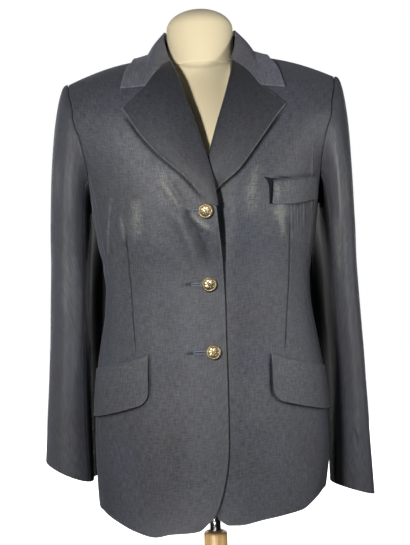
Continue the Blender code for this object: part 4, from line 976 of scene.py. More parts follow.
def form_surface(angle, level):
    """The dress form under the cloth: the torso surface moved in, with flat plates at the arms."""
    low = 1 - ease(level, 0.52, 0.66)
    grid = np.stack([angle, level], axis=-1)
    middle = np.exp(-((torso(grid)[..., 0] / 0.075) ** 4)) * (np.cos(angle) > 0)
    inset = CLOTH + FORM_CLEARANCE + np.maximum(FORM_SLACK * low, FORM_CHEST_SLACK * middle)
    points = torso(grid, -inset)
    plate = ARM_PLATE_X + ARM_PLATE_SLOPE * (points[..., 2] - ARMHOLE_BOTTOM)
    points[..., 0] = np.minimum(points[..., 0], plate)
    return points


def crease_field(table, x, height):
    """The sum of soft folds: a bell across each bowed line, a raised lip beside it, fading at its ends."""
    total = np.zeros(np.broadcast(x, height).shape)
    for fold in [Fold(*row) for row in table]:
        run = math.hypot(fold.end_x - fold.x, fold.end_height - fold.height)
        way_x, way_z = (fold.end_x - fold.x) / run, (fold.end_height - fold.height) / run
        share = ((x - fold.x) * way_x + (height - fold.height) * way_z) / run
        inside = np.clip(share, 0, 1)
        off = (height - fold.height) * way_x - (x - fold.x) * way_z - fold.bow * 4 * inside * (1 - inside)
        fade = ease(share, -0.12, 0.35) * (1 - ease(share, 0.65, 1.12))
        lip = fold.lip * bell(off, fold.width, 1.9 * fold.width)
        total += fold.depth * fade * (bell(off, fold.width) - lip)
    return total


def sewn_line(line, x, height, width):
    """A bell across a line of (x, height) points that runs down the piece, fading at its ends."""
    line = np.array(line, float)[::-1]
    along = smooth(line[:, 1], line[:, 0], height)
    above = ease(height, line[0, 1] - 0.004, line[0, 1] + 0.020)
    below = 1 - ease(height, line[-1, 1] - 0.03, line[-1, 1])
    return above * below * bell(x, width, along)


def line_across(line, x, height, width):
    """A bell across a line of (x, height) points that runs round the piece, cut off at the line's ends."""
    places, heights = np.array(line, float).T
    between = (x > places[0]) & (x < places[-1])
    return between * bell(height, width, np.interp(x, places, heights))


def unevenness(x, height, phase):
    """The slight waviness of real cloth: a few long sine waves that cross each other."""
    return (
        np.sin(x * 61 + height * 17 + phase)
        + 0.7 * np.sin(height * 43 - x * 29 + 2.1 * phase)
        + 0.5 * np.sin(x * 113 + height * 71 + 3.3 * phase)
    ) / 2.2


def edge_distances(grid):
    """How far each point lies from the first and last column and the first and last row, along the cloth."""
    across = np.linalg.norm(np.diff(grid, axis=1), axis=-1)
    left = np.concatenate([np.zeros((len(grid), 1)), np.cumsum(across, axis=1)], axis=1)
    upward = np.linalg.norm(np.diff(grid, axis=0), axis=-1)
    first = np.concatenate([np.zeros((1, grid.shape[1])), np.cumsum(upward, axis=0)], axis=0)
    return left, left[:, -1:] - left, first, first[-1:] - first


def groove(distance, seam, along=None):
    """The fall towards a seam, a bell of the distance from it, drawn in unevenly along the stitches."""
    depth, width, pucker = SEAMS[seam]
    fall = -depth * bell(distance, width)
    if along is not None:
        wave = np.sin(along * 410 + 3 * np.sin(along * 53)) * np.sin(along * 97 + 1.0)
        fall = fall + pucker * wave * bell(distance, 3.5 * width)
    return fall


def rounded_edge(distance, depth=0.0004, width=0.0009, bead=0.00010):
    """A free edge that turns under: it falls at the very edge, behind a faint bead."""
    return bead * bell(distance, 1.5 * width, 2.4 * width) - depth * bell(distance, width)


def painted_edge_highlight(*distances):
    """A painted highlight along edges: a narrow bell of the distance from each of them."""
    return sum(EDGE_PAINTED_LIGHT * bell(distance, EDGE_PAINTED_LIGHT_WIDTH, EDGE_PAINTED_LIGHT_WIDTH) for distance in distances)


def outward_normals(grid, away_from):
    """Each point's normal, from the slopes along and across, on the side away from that point or line."""
    normal = unit(np.cross(np.gradient(grid, axis=1), np.gradient(grid, axis=0)))
    return normal if float((normal * (grid - away_from)).sum()) > 0 else -normal


def ring_faces(rings, count, closed=True):
    """Faces between rings or rows of points, each of this many points, the first one lowest."""
    k = np.arange(count if closed else count - 1)
    row = np.arange(rings - 1)[:, None] * count
    after = (k + 1) % count
    return np.stack([row + k, row + after, row + count + after, row + count + k], axis=-1).reshape(-1, 4)


def sheet_object(name, grid, away_from, finish, shine=None):
    """A sheet of points, rows by columns, as a mesh that faces outward, with its cut as a UV map."""
    faces = ring_faces(*grid.shape[:2], closed=False)
    normal = np.cross(grid[:-1, 1:] - grid[:-1, :-1], grid[1:, :-1] - grid[:-1, :-1])
    if float((normal * (grid[:-1, :-1] - away_from)).sum()) < 0:
        faces = faces[:, ::-1]
    left, right, low, _ = edge_distances(grid)
    cut = np.stack([(left - right) / 2, low], axis=-1).reshape(-1, 2)
    points = (grid + (0, 0, HEM_HEIGHT)).reshape(-1, 3)
    return mesh_object(name, points, faces, finish, cut, {} if shine is None else {"shine": shine})


def mesh_object(name, points, faces, finish, cut=None, attributes=None):
    """A mesh from whole arrays: four-cornered faces, a UV map read per point, and point attributes."""
    mesh = bpy.data.meshes.new(name)
    mesh.vertices.add(len(points))
    mesh.vertices.foreach_set("co", points.astype(np.float32).ravel())
    mesh.loops.add(faces.size)
    mesh.loops.foreach_set("vertex_index", faces.astype(np.int32).ravel())
    mesh.polygons.add(len(faces))
    mesh.polygons.foreach_set("loop_start", np.arange(0, faces.size, faces.shape[1], dtype=np.int32))
    if cut is not None:
        layer = mesh.uv_layers.new(name="cut")
        layer.data.foreach_set("uv", cut[faces.ravel()].astype(np.float32).ravel())
    for key, values in (attributes or {}).items():
        layer = mesh.attributes.new(key, "FLOAT", "POINT")
        layer.data.foreach_set("value", values.astype(np.float32).ravel())
    mesh.update(calc_edges=True)
    mesh.validate()
    return linked_object(name, mesh, finish, 50)


def linked_object(name, mesh, finish, sharp_from):
    """The mesh as an object of the scene, in its finish, smooth but for edges sharper than this."""
    mesh.shade_smooth()
    mesh.set_sharp_from_angle(angle=math.radians(sharp_from))
    obj = bpy.data.objects.new(name, mesh)
    bpy.context.scene.collection.objects.link(obj)
    for one in finish:
        mesh.materials.append(one)
    return obj


def cut_measures(grid):
    """A cut piece's width, length and area. The area is the sum of its faces' two halves."""
    left, _, low, _ = edge_distances(grid)
    down, across = grid[1:, :-1] - grid[:-1, :-1], grid[:-1, 1:] - grid[:-1, :-1]
    back_down, back_across = grid[:-1, 1:] - grid[1:, 1:], grid[1:, :-1] - grid[1:, 1:]
    first_halves = np.linalg.norm(np.cross(down, across), axis=-1)
    halves = first_halves + np.linalg.norm(np.cross(back_down, back_across), axis=-1)
    return float(left[:, -1].max()), float(low[-1].max()), float(halves.sum() / 2)


def add_wall(obj, thickness):
    """Gives a sheet its thickness inwards, with the lining's finish on its inner face."""
    wall = obj.modifiers.new("wall", "SOLIDIFY")
    wall.thickness = thickness
    wall.offset = -1
    wall.use_rim = True
    if len(obj.data.materials) > 1:
        wall.material_offset = 1
        wall.material_offset_rim = 0


def add_cloth(name, grid, away_from, finish, thickness, node, shine=None):
    """One cut piece: its mesh and wall, and its place on the body; the CAD part that it stands for is hidden.
    """
    obj = sheet_object(name, grid, away_from, finish, shine)
    add_wall(obj, thickness)
    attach(obj, "root")
    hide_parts(node)
    return obj


def add_node(tree, kind, inputs=None, **settings):
    """A shader node with its settings made, and each named input linked or given its value."""
    made = tree.nodes.new(kind)
    for key, value in settings.items():
        setattr(made, key, value)
    for key, value in (inputs or {}).items():
        if isinstance(value, bpy.types.NodeSocket):
            tree.links.new(value, made.inputs[key])
        else:
            made.inputs[key].default_value = value
    return made


def mixed(tree, factor, first, second):
    """A colour between two, by a factor."""
    ends = [one if isinstance(one, bpy.types.NodeSocket) else (*one, 1) for one in (first, second)]
    return add_node(tree, "ShaderNodeMix", {0: factor, 6: ends[0], 7: ends[1]}, data_type="RGBA").outputs[2]


def noise(tree, place, scale, detail, distortion=0.0):
    """Soft random clouds, from 0 to 1, this many of them in a metre."""
    inputs = {"Vector": place, "Scale": scale, "Detail": detail, "Distortion": distortion}
    return add_node(tree, "ShaderNodeTexNoise", inputs).outputs["Fac"]


def stretched(tree, place, by):
    """A place multiplied by this much along each axis."""
    return add_node(tree, "ShaderNodeMapping", {"Vector": place, "Scale": by}).outputs["Vector"]


def carried(tree, value, source=(0.0, 1.0), target=(0.0, 1.0)):
    """A value carried from one range to another in proportion, and kept inside it."""
    inputs = {"From Min": source[0], "From Max": source[1], "To Min": target[0], "To Max": target[1]}
    return add_node(tree, "ShaderNodeMapRange", {"Value": value, **inputs}).outputs["Result"]


def worked_out(tree, operation, first, second, clamp=False):
    """Two values added or multiplied."""
    node = add_node(tree, "ShaderNodeMath", {0: first, 1: second}, operation=operation, use_clamp=clamp)
    return node.outputs[0]


def set_socket(tree, shader, socket, value):
    """Links a value into the shader."""
    tree.links.new(value, shader.inputs[socket])


def raise_relief(tree, shader, height, strength, distance):
    """Makes the finish catch the light as if it rose by this height."""
    bump = add_node(tree, "ShaderNodeBump", {"Height": height, "Strength": strength, "Distance": distance})
    set_socket(tree, shader, "Normal", bump.outputs["Normal"])


def shade_of(colour, *shares):
    """A colour with its three parts multiplied, all by one share or each by its own."""
    return tuple(part * share for part, share in zip(colour, shares * 3 if len(shares) == 1 else shares))


def new_finish(name, **sockets):
    """A material: itself, its tree, its shader with the constant sockets set, and the place on the object."""
    made = bpy.data.materials.new(name)
    made.use_nodes = True
    tree = made.node_tree
    shader = tree.nodes["Principled BSDF"]
    for key, value in sockets.items():
        shader.inputs[key.replace("_", " ").title().replace("Ior", "IOR")].default_value = value
    return made, tree, shader, add_node(tree, "ShaderNodeTexCoord").outputs["Object"]


YARNS = ((620.0, 75.0, 1.0), (95.0, 560.0, 1.0))  # the two sets of yarns, as long thin clouds
BROWNER, BLUER = (0.97, 0.92, 0.88), (1.02, 1.07, 1.14)


def worsted(name, colour, roughness, settings):
    """Satin-faced twill, over the piece's cut as a UV map in metres.

    Fine diagonal ribs, two sets of long thin yarns that cross, slow drifts of tone from brown to blue, and
    a painted highlight, speckled by the yarns, where a piece's painted-light attribute is above zero. Where
    it is below zero, colour, nap and gloss all fall: painted shade.
    """
    made, tree, shader, place = new_finish(
        name,
        roughness=roughness,
        specular_ior_level=settings.satin,
        sheen_weight=settings.sheen,
        sheen_roughness=0.5,
        sheen_tint=(*(min(1, part) for part in shade_of(colour, 4.0)), 1),
    )
    cut = add_node(tree, "ShaderNodeUVMap", uv_map="cut").outputs["UV"]
    rib_scale = 0.2 * math.pi / (settings.twill_pitch * math.sqrt(2))
    ribs = add_node(
        tree,
        "ShaderNodeTexWave",
        {"Vector": cut, "Scale": rib_scale, "Distortion": 0.35, "Detail": 1.0},
        wave_type="BANDS",
        bands_direction="DIAGONAL",
    ).outputs["Fac"]
    lengthways, crossways = [noise(tree, stretched(tree, cut, by), 1.0, 2.0) for by in YARNS]
    weave = worked_out(tree, "ADD", lengthways, crossways)
    grain = carried(tree, weave, (0.70, 1.30))
    drift = carried(tree, noise(tree, place, 11.0, 3.0), (0.32, 0.68))
    tone = mixed(tree, drift, shade_of(colour, *BROWNER), shade_of(colour, *BLUER))
    shaded = carried(tree, grain, target=(1 - settings.grain, 1 + settings.grain))
    ribbed = carried(tree, ribs, target=(0.90, 1.06))
    # The painted light and shade that each piece carries: painted highlights above zero, painted shade below.
    painted_light_value = add_node(tree, "ShaderNodeAttribute", attribute_name="shine").outputs["Fac"]
    painted_shade_factor = carried(tree, painted_light_value, (-1.0, 0.0))
    strength = worked_out(tree, "MULTIPLY", worked_out(tree, "MULTIPLY", shaded, ribbed), painted_shade_factor)
    for socket, full in (("Sheen Weight", settings.sheen), ("Specular IOR Level", settings.satin)):
        set_socket(tree, shader, socket, worked_out(tree, "MULTIPLY", painted_shade_factor, full))
    woven = add_node(tree, "ShaderNodeVectorMath", {0: tone, "Scale": strength}, operation="SCALE")
    # The painted highlight, speckled by the grain, takes the colour towards the highlight colour and the
    # roughness down a little.
    speckle = carried(tree, grain, (0.15, 0.85), (0.25, 1.5))
    painted_highlight = worked_out(tree, "MULTIPLY", painted_light_value, speckle, clamp=True)
    with_painted_highlight = mixed(tree, painted_highlight, woven.outputs["Vector"], settings.painted_light_colour)
    set_socket(tree, shader, "Base Color", with_painted_highlight)
    set_socket(tree, shader, "Roughness", carried(tree, painted_highlight, target=(roughness, roughness * 0.85)))
    raise_relief(tree, shader, worked_out(tree, "ADD", weave, ribs), 0.4, 0.0003)
    return made


def lining_finish(name, colour, roughness=0.38, gloss=0.5):
    """Plain acetate lining, smoother than the cloth, with a faint ribbed weave."""
    made, tree, shader, place = new_finish(name, roughness=roughness, specular_ior_level=gloss)
    fine = noise(tree, place, 60.0, 4.0)
    set_socket(tree, shader, "Base Color", mixed(tree, fine, colour, shade_of(colour, 1.4)))
    raise_relief(tree, shader, fine, 0.2, 0.0004)
    return made


def cream_jersey(name, colour):
    """A cotton jersey cover: fine upright ribs of knit stitches, faintly stained and worn in places."""
    made, tree, shader, place = new_finish(name, roughness=0.85, sheen_weight=0.25, sheen_roughness=0.5)
    ribs = {"Vector": place, "Scale": 190.0, "Distortion": 0.6}
    knit = add_node(tree, "ShaderNodeTexWave", ribs, bands_direction="X").outputs["Fac"]
    worn = shade_of(colour, 0.93, 0.90, 0.84)
    set_socket(tree, shader, "Base Color", mixed(tree, noise(tree, place, 7.0, 4.0), colour, worn))
    raise_relief(tree, shader, worked_out(tree, "ADD", knit, noise(tree, place, 900.0, 2.0)), 0.25, 0.0003)
    return made


def aged_gilt(name, colour, patina):
    """Gilt metal, bright where the relief stands up and dark brown in its hollows."""
    made, tree, shader, place = new_finish(name, metallic=1.0, roughness=0.34)
    high = add_node(tree, "ShaderNodeAttribute", attribute_name="relief").outputs["Fac"]
    worn = carried(tree, noise(tree, place, 900.0, 3.0), (0.35, 0.65), (-0.18, 0.18))
    factor = worked_out(tree, "ADD", high, worn, clamp=True)
    set_socket(tree, shader, "Base Color", mixed(tree, factor, patina, colour))
    set_socket(tree, shader, "Roughness", carried(tree, factor, target=(0.62, 0.28)))
    return made


def polished_steel(name, colour):
    """Chromed tube with faint wiping marks along it."""
    made, tree, shader, place = new_finish(name, metallic=1.0, roughness=0.16)
    marks = noise(tree, stretched(tree, place, (220.0, 220.0, 6.0)), 1.0, 3.0)
    set_socket(tree, shader, "Base Color", mixed(tree, marks, colour, shade_of(colour, 0.8)))
    set_socket(tree, shader, "Roughness", carried(tree, marks, target=(0.10, 0.24)))
    return made


def turned_wood(name, colour, stretch):
    """Waxed light wood: long grain that follows the piece, darker growth lines and small pores."""
    made, tree, shader, place = new_finish(name, roughness=0.42, coat_weight=0.2, coat_roughness=0.3)
    grain = noise(tree, stretched(tree, place, stretch), 1.0, 5.0, 1.2)
    dark = shade_of(colour, 0.72, 0.62, 0.50)
    set_socket(tree, shader, "Base Color", mixed(tree, carried(tree, grain, (0.35, 0.62)), dark, colour))
    raise_relief(tree, shader, grain, 0.2, 0.0004)
    return made


def buttonhole_thread(name, colour):
    """Twisted silk thread, a shade bluer than the cloth."""
    made, tree, shader, place = new_finish(name, roughness=0.45, sheen_weight=0.3)
    twist = noise(tree, place, 1400.0, 2.0)
    set_socket(tree, shader, "Base Color", mixed(tree, twist, shade_of(colour, 0.6), shade_of(colour, 1.3)))
    return made


def finish_named(name, make, *facts):
    """The material of that name, made the first time that it is asked for."""
    return bpy.data.materials.get(name) or make(name, *facts)


def cloth_finish(name, settings, shade=1.0):
    """The cloth, its colour made this much lighter or darker for a piece: painted light on the collar,
    painted shade on the lapels.
    """
    return finish_named(name, worsted, shade_of(settings.colour, shade), settings.roughness, settings)


def body_finish(settings):
    """The body's cloth, and the lining inside it."""
    lining = finish_named("lining", lining_finish, settings.lining_colour)
    return cloth_finish("worsted_body", settings), lining


def colour_choice(name, description, default):
    """A colour that a user sets."""
    return bpy.props.FloatVectorProperty(
        name=name, description=description, subtype="COLOR", default=default, min=0, max=1
    )


def share_choice(name, description, default, most=1.0):
    """A share that a user sets, from 0 up to the most."""
    return bpy.props.FloatProperty(
        name=name, description=description, subtype="FACTOR", default=default, min=0, max=most
    )


def length_choice(name, description, default):
    """A length that a user sets, in metres."""
    return bpy.props.FloatProperty(
        name=name, description=description, subtype="DISTANCE", unit="LENGTH", default=default
    )


def power_choice(name, description, default):
    """A lamp's power that a user sets, in watts."""
    return bpy.props.FloatProperty(name=name, description=description, unit="POWER", default=default)


class BlazerClothSettings(bpy.types.PropertyGroup):
    """The cloth of the blazer."""

    colour: colour_choice("Cloth", "Colour of the worsted", (0.054, 0.057, 0.069))
    # The lapels' cloth painted darker and the collar's painted lighter than the body's: painted shade and
    # painted light
    lapel_painted_shade: share_choice("Lapel shade", "How dark the lapels are beside the body", 0.56, 2)
    collar_painted_light: share_choice("Collar shade", "How light the collar is beside the body", 1.95, 2)
    lining_colour: colour_choice("Lining", "Colour of the lining", (0.012, 0.013, 0.018))
    # The colour of the painted highlights.
    painted_light_colour: colour_choice("Pressed shine", "Colour where pressing shines", (0.166, 0.171, 0.160))
    roughness: share_choice("Roughness", "Roughness of the satin face", 0.56)
    satin: share_choice("Satin", "Strength of the satin face's gloss", 0.50)
    sheen: share_choice("Nap", "Strength of the fine nap's sheen", 0.45)
    grain: share_choice("Grain", "How much the yarns differ in tone", 0.50)
    twill_pitch: length_choice("Twill pitch", "From one twill rib to the next", 0.0011)
    wall: length_choice("Wall", "Cloth, canvas and lining together", 0.0016)
    folds: share_choice("Folds", "How deep the folds are", 1.0, 2)


class BlazerTrimSettings(bpy.types.PropertyGroup):
    """The buttons and buttonholes."""

    gilt: colour_choice("Gilt", "Colour of the bright gilt", (0.60, 0.50, 0.31))
    patina: colour_choice("Patina", "Colour in the hollows", (0.190, 0.140, 0.075))
    thread: colour_choice("Thread", "Colour of the buttonhole thread", (0.150, 0.175, 0.240))
    petals: bpy.props.IntProperty(
        name="Petals", description="Petals of the rosette", default=8, min=3, max=16
    )
    relief: length_choice("Relief", "Height of the rosette", 0.0007)


class DressFormSettings(bpy.types.PropertyGroup):
    """The dress form and its stand."""

    cover: colour_choice("Cover", "Colour of the jersey cover", (0.82, 0.72, 0.49))
    steel: colour_choice("Rod", "Colour of the rod", (0.62, 0.62, 0.63))
    wood: colour_choice("Wood", "Colour of the post and base", (0.76, 0.52, 0.22))
    neck_blend: length_choice("Neck blend", "How softly the neck joins the shoulders", 0.018)


class StudioSettings(bpy.types.PropertyGroup):
    """The floor, the lights and the camera."""

    key_power: power_choice("Key", "Power of the key light", 10.6)
    floor_power: power_choice("Floor light", "Power of the light on the post", 0.26)
    second_power: power_choice("Second light", "Power of the second light", 5.0)
    side_power: power_choice("Side fills", "Power of each side light", 5.0)
    fill_power: power_choice("Front fill", "Power of the soft light in front", 2.4)
    back_power: power_choice("Back lights", "Power of each light behind", 22.0)
    floor: colour_choice("Floor", "Colour of the floor", (0.80, 0.80, 0.79))


SPINE = np.array([0.0, 0.0, 0.4])


def own_measures(grid, side):
    """How far each point lies from the middle, on its own side, and its height above the hem."""
    return grid[..., 0] * side, grid[..., 2]


def moved_out(grid, away_from, out):
    """The sheet with each point moved this far along its normal, away from that point or line."""
    return grid + outward_normals(grid, away_from) * out[..., None]


def finished_front(side, settings):
    """A front: its chart lifted over what it lies on, then folds, dart, seams and edges along its normals."""
    rows, columns = FRONT_POINTS
    upward = crowd(rows, *FRONT_CROWDS_UP, *FRONT_DETAIL_UP[side])
    grid = lifted(side, front_chart(side, upward, crowd(columns, *FRONT_CROWDS_ACROSS)))
    x, height = own_measures(grid, side)
    left, right, low, top = edge_distances(grid)
    out = crease_field(FRONT_CREASES[side], x, height) * settings.folds
    out += unevenness(x, height, 0.7 * side) * FRONT_WAVE * ease(left, 0.0, 0.03)
    (groove_depth, groove_width), (swell_height, swell_width) = DART_GROOVE, DART_SWELL
    dart = sewn_line(DART[side], x, height, groove_width)
    out += swell_height * sewn_line(DART[side], x, height, swell_width) - groove_depth * dart
    out += groove(right, "front_side", height) + groove(top, "shoulder", x)
    out += rounded_edge(left) * (1 - ease(height, 0.44, 0.47)) + rounded_edge(low)
    out += HEM_PRINT * bell(low, HEM_PRINT_WIDTH, HEM_TURN_UP)
    # Painted highlights and shade from the table, painted highlights along the front edge and hem, and
    # painted shade along the dart
    shine = crease_field(PAINTED_LIGHT[side], x, height) + 0.5 * painted_edge_highlight(left, low) - LINE_PAINTED_SHADE * dart
    # The lapel's painted shadow on the front, just past its edge
    under_lapel = [(-edge_x, edge_height) for edge_x, edge_height in reversed(LAPEL_EDGE[side])]
    shadow_off, shadow_width = LAPEL_SHADOW
    shine -= LINE_PAINTED_SHADE * sewn_line(under_lapel, x - shadow_off, height, shadow_width)
    # The chest flap's painted shadows on the left front
    if side == LEFT:
        shine -= LINE_PAINTED_SHADE * sum(line_across(line, x, height, FLAP_SHADOW_WIDTH) for line in FLAP_SHADOWS)
    return moved_out(grid, SPINE, out), np.clip(shine, DARKEST_PAINTED_SHADE, 1)


def finished_back(side, settings):
    """Half of the back, with drawn folds at the waist and a sewn middle."""
    grid = lifted(side, back_chart(side, *BACK_POINTS))
    x, height = own_measures(grid, side)
    left, right, low, top = edge_distances(grid)
    out = crease_field(BACK_CREASES[side], x, height) * settings.folds
    out += unevenness(x, height, 1.9 * side) * BACK_WAVE * ease(right, 0.0, 0.03)
    out += groove(left, "side_back", height) + groove(right, "middle_back", height)
    out += groove(top, "covered") + rounded_edge(low)
    return moved_out(grid, SPINE, out)


def finished_flank(side, settings):
    """The side panel, with a few soft folds where the arm would press."""
    grid = lifted(side, side_chart(side, *FLANK_POINTS))
    height = grid[..., 2]
    left, right, low, top = edge_distances(grid)
    across = left - left[:, -1:] / 2
    out = crease_field(FLANK_CREASES, across * side, height) * settings.folds
    out += unevenness(across, height, 2.7 * side) * FLANK_WAVE
    out += groove(left, "side_front", height) + groove(right, "side_back", height)
    out += groove(top, "covered") + rounded_edge(low)
    return moved_out(grid, SPINE, out)


class OBJECT_OT_blazer_body(bpy.types.Operator):
    """Build the fronts, side panels and backs"""

    bl_idname = "object.blazer_body"
    bl_label = "Body Panels"
    bl_options = {"REGISTER", "UNDO"}

    def execute(self, context):
        settings = context.scene.blazer_cloth
        finish = body_finish(settings)
        for side, word in SIDES:
            front, shine = finished_front(side, settings)
            flank, back = finished_flank(side, settings), finished_back(side, settings)
            for part, grid, glow in (("front", front, shine), ("side", flank, None), ("back", back, None)):
                node = f"{part}_{word}"
                add_cloth(f"cloth_{node}", grid, SPINE, finish, settings.wall, node, glow)
        return {"FINISHED"}


class OBJECT_OT_blazer_lapels(bpy.types.Operator):
    """Build the lapels, rolled over the front edges"""

    bl_idname = "object.blazer_lapels"
    bl_label = "Lapels"
    bl_options = {"REGISTER", "UNDO"}

    def execute(self, context):
        settings = context.scene.blazer_cloth
        finish = (cloth_finish("worsted_lapel", settings, settings.lapel_painted_shade),)
        for side, word in SIDES:
            grid = lapel_grid(side, *LAPEL_POINTS)
            x, height = own_measures(grid, side)
            left, right, _, top = edge_distances(grid)
            chest = ease(left, 0.014, 0.030)
            out = unevenness(x, height, 0.9 + side) * FRONT_WAVE * chest
            out += (rounded_edge(right, bead=0.0003) + rounded_edge(top)) * chest
            grid = moved_out(grid, LAPEL_INSIDE, out)
            # Painted highlight along the lapel's free edges
            shine = painted_edge_highlight(right, top) * chest
            node, rests_on = f"lapel_{word}", [f"front_{word}"]
            add_cloth(f"cloth_{node}", grid, LAPEL_INSIDE, finish, FACING_WALL, node, shine)
        return {"FINISHED"}


class OBJECT_OT_blazer_collar(bpy.types.Operator):
    """Build the collar, from its stand over the roll to its fall"""

    bl_idname = "object.blazer_collar"
    bl_label = "Collar"
    bl_options = {"REGISTER", "UNDO"}

    def execute(self, context):
        settings = context.scene.blazer_cloth
        finish = (cloth_finish("worsted_collar", settings, settings.collar_painted_light),)
        grid = collar_grid(*COLLAR_POINTS)
        left, right, low, top = edge_distances(grid)
        fall = ease(left, STAND_HEIGHT + 0.006, STAND_HEIGHT + 0.014)
        out = rounded_edge(right, bead=0.0002) + rounded_edge(low) * fall + rounded_edge(top) * fall
        grid = moved_out(grid, COLLAR_INSIDE, out)
        # Painted highlight along the collar's edges
        shine = painted_edge_highlight(right) + painted_edge_highlight(low, top) * fall
        add_cloth("cloth_collar", grid, COLLAR_INSIDE, finish, FACING_WALL, "collar", shine)
        return {"FINISHED"}


def finished_sleeve(side, first_turn, last_turn, columns, settings, phase):
    """One piece of a sleeve, with puckers round its head, bends at the elbow and pulls at the cuff."""
    turns = first_turn + crowd(columns, (0, 0.012, 4), (1, 0.012, 4)) * (last_turn - first_turn)
    grid = sleeve_grid(side, turns, *SLEEVE_ROWS)
    left, right, top, low = edge_distances(grid)
    round_it = np.broadcast_to(turns * SLEEVE_ROUND, left.shape)
    height = grid[..., 2]
    out = crease_field(SLEEVE_CREASES[side], round_it, height) * settings.folds
    out += unevenness(round_it, height, phase) * SLEEVE_WAVE * ease(top, 0.0, 0.05)
    gathers = np.sin(round_it * 320 + 2.0 * np.sin(round_it * 71)) * bell(top, GATHER_REACH)
    out += GATHER_HEIGHT * gathers * ease(np.sin(turns), -0.2, 0.6)
    out += groove(top, "armhole") + 0.0002 * bell(top, 0.006, 0.008) * ease(np.sin(turns), 0.2, 0.8)
    out += groove(left, "sleeve", height) + groove(right, "sleeve", height)
    out += rounded_edge(low)
    spine = np.stack([np.full_like(height, side * ARM_X), np.zeros_like(height), height], axis=-1)
    # Painted shade on the front half of the sleeve's inner face, beside the body; with painted highlights of
    # streaks and along the cuff
    inner = ease(-np.sin(turns), 0.50, 0.85) * ease(np.cos(turns), -0.90, -0.50)
    shine = crease_field(SLEEVE_PAINTED_LIGHT[side], round_it, height) + 0.4 * painted_edge_highlight(low)
    return moved_out(grid, spine, out), spine, np.clip(shine - INNER_SLEEVE_PAINTED_SHADE * inner, DARKEST_PAINTED_SHADE, 1)


class OBJECT_OT_blazer_sleeves(bpy.types.Operator):
    """Build the two-piece sleeves"""

    bl_idname = "object.blazer_sleeves"
    bl_label = "Sleeves"
    bl_options = {"REGISTER", "UNDO"}

    def execute(self, context):
        settings = context.scene.blazer_cloth
        finish = body_finish(settings)
        gap = SEAM_GAP / 2 / SLEEVE_ROUND
        for side, word in SIDES:
            spans = (
                ("top", FOREARM_SEAM + gap, ELBOW_SEAM - gap, TOP_SLEEVE_LINES),
                ("under", ELBOW_SEAM + gap, FOREARM_SEAM + 2 * math.pi - gap, UNDER_SLEEVE_LINES),
            )
            for part, start, end, lines in spans:
                phase = 1.3 * side + len(part)
                grid, spine, shine = finished_sleeve(side, start, end, lines, settings, phase)
                node, inside = f"sleeve_{part}_{word}", spine[:-1, :-1]
                add_cloth(f"cloth_{node}", grid, inside, finish, settings.wall, node, shine)
        return {"FINISHED"}


class OBJECT_OT_blazer_flaps(bpy.types.Operator):
    """Build the pocket flaps"""

    bl_idname = "object.blazer_flaps"
    bl_label = "Pocket Flaps"
    bl_options = {"REGISTER", "UNDO"}

    def execute(self, context):
        settings = context.scene.blazer_cloth
        finish = body_finish(settings)[:1]
        hips = [
            (side, f"hip_flap_{word}", HIP_FLAP[side], HIP_FLAP_CORNER, 0.0, HIP_FLAP_POINTS)
            for side, word in SIDES
        ]
        chest = (LEFT, "chest_flap", CHEST_FLAP, CHEST_FLAP_CORNER, CHEST_FLAP_SAG, CHEST_FLAP_POINTS)
        for side, node, corners, radius, sag, (rows, columns) in (*hips, chest):
            upward = crowd(rows, (0, 0.03, 5), (1, 0.03, 3))
            across = crowd(columns, (0, 0.02, 5), (1, 0.02, 4))
            plain = flap_chart(corners, radius, sag, upward, across)
            flat = lifted(side, plain)
            left, right, low, top = edge_distances(flat)
            out = 2 * LAYER_GAP + CLOTH + FLAP_STAND_OFF * (1 - upward[:, None]) ** 0.7 * (1 - 0.5 * across)
            out = out + rounded_edge(left) + rounded_edge(low) + rounded_edge(right)
            out = out - (out - FLAP_SEAM_OUT) * bell(top, 0.0016)
            x, height = own_measures(flat, side)
            out = out + unevenness(x, height, 3.1 + side) * FRONT_WAVE
            grid = lifted(side, plain, out)
            # The flaps painted a little lighter all over, with painted highlights along their edges, and on
            # the chest flap's front end
            shine = 0.10 + 0.5 * painted_edge_highlight(left, low, right)
            if node == "chest_flap":
                shine = shine + np.clip(crease_field(FLAP_PAINTED_LIGHT, x, height), 0, 1)
            add_cloth(f"cloth_{node}", grid, SPINE, finish, settings.wall, node, shine)
        return {"FINISHED"}


class OBJECT_OT_blazer_pocket_mouth(bpy.types.Operator):
    """Build the dark strip beside the chest flap: a painted shadow of the pocket's opening"""

    bl_idname = "object.blazer_pocket_mouth"
    bl_label = "Chest Pocket Mouth"
    bl_options = {"REGISTER", "UNDO"}

    def execute(self, context):
        settings = context.scene.blazer_cloth
        # A dark, matte finish that paints the shadow in the pocket's opening
        finish = (finish_named("pocket_facing", lining_finish, settings.lining_colour, 0.9, 0.05),)
        share = np.linspace(0, 1, 24)
        outer, inner = [
            np.stack([np.interp(share, *line[:2]), np.interp(share, line[0], line[2])], axis=-1)
            for line in POCKET_MOUTH
        ]
        across = np.linspace(0, 1, 8)[None, :, None]
        places = outer[:, None] + across * (inner - outer)[:, None]
        grid = lifted(LEFT, chart(places[..., 0], places[..., 1]), POCKET_OUT)
        obj = sheet_object("chest_pocket_mouth", grid, SPINE, finish)
        add_wall(obj, POCKET_WALL)
        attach(obj, "root")
        width, length, area = cut_measures(grid)
        area = min(area, width * length)
        return {"FINISHED"}


def button_place(x, height):
    """Where a button's foot is, and its own three directions: across, up and out of the cloth."""
    spot = chart(-x, height)
    ground = lifted(RIGHT, spot) + (0, 0, HEM_HEIGHT)
    out = lifted_normal(RIGHT, spot)
    across = unit(np.cross(np.array([0.0, 0.0, 1.0]), out))
    return ground, across, np.cross(out, across), out


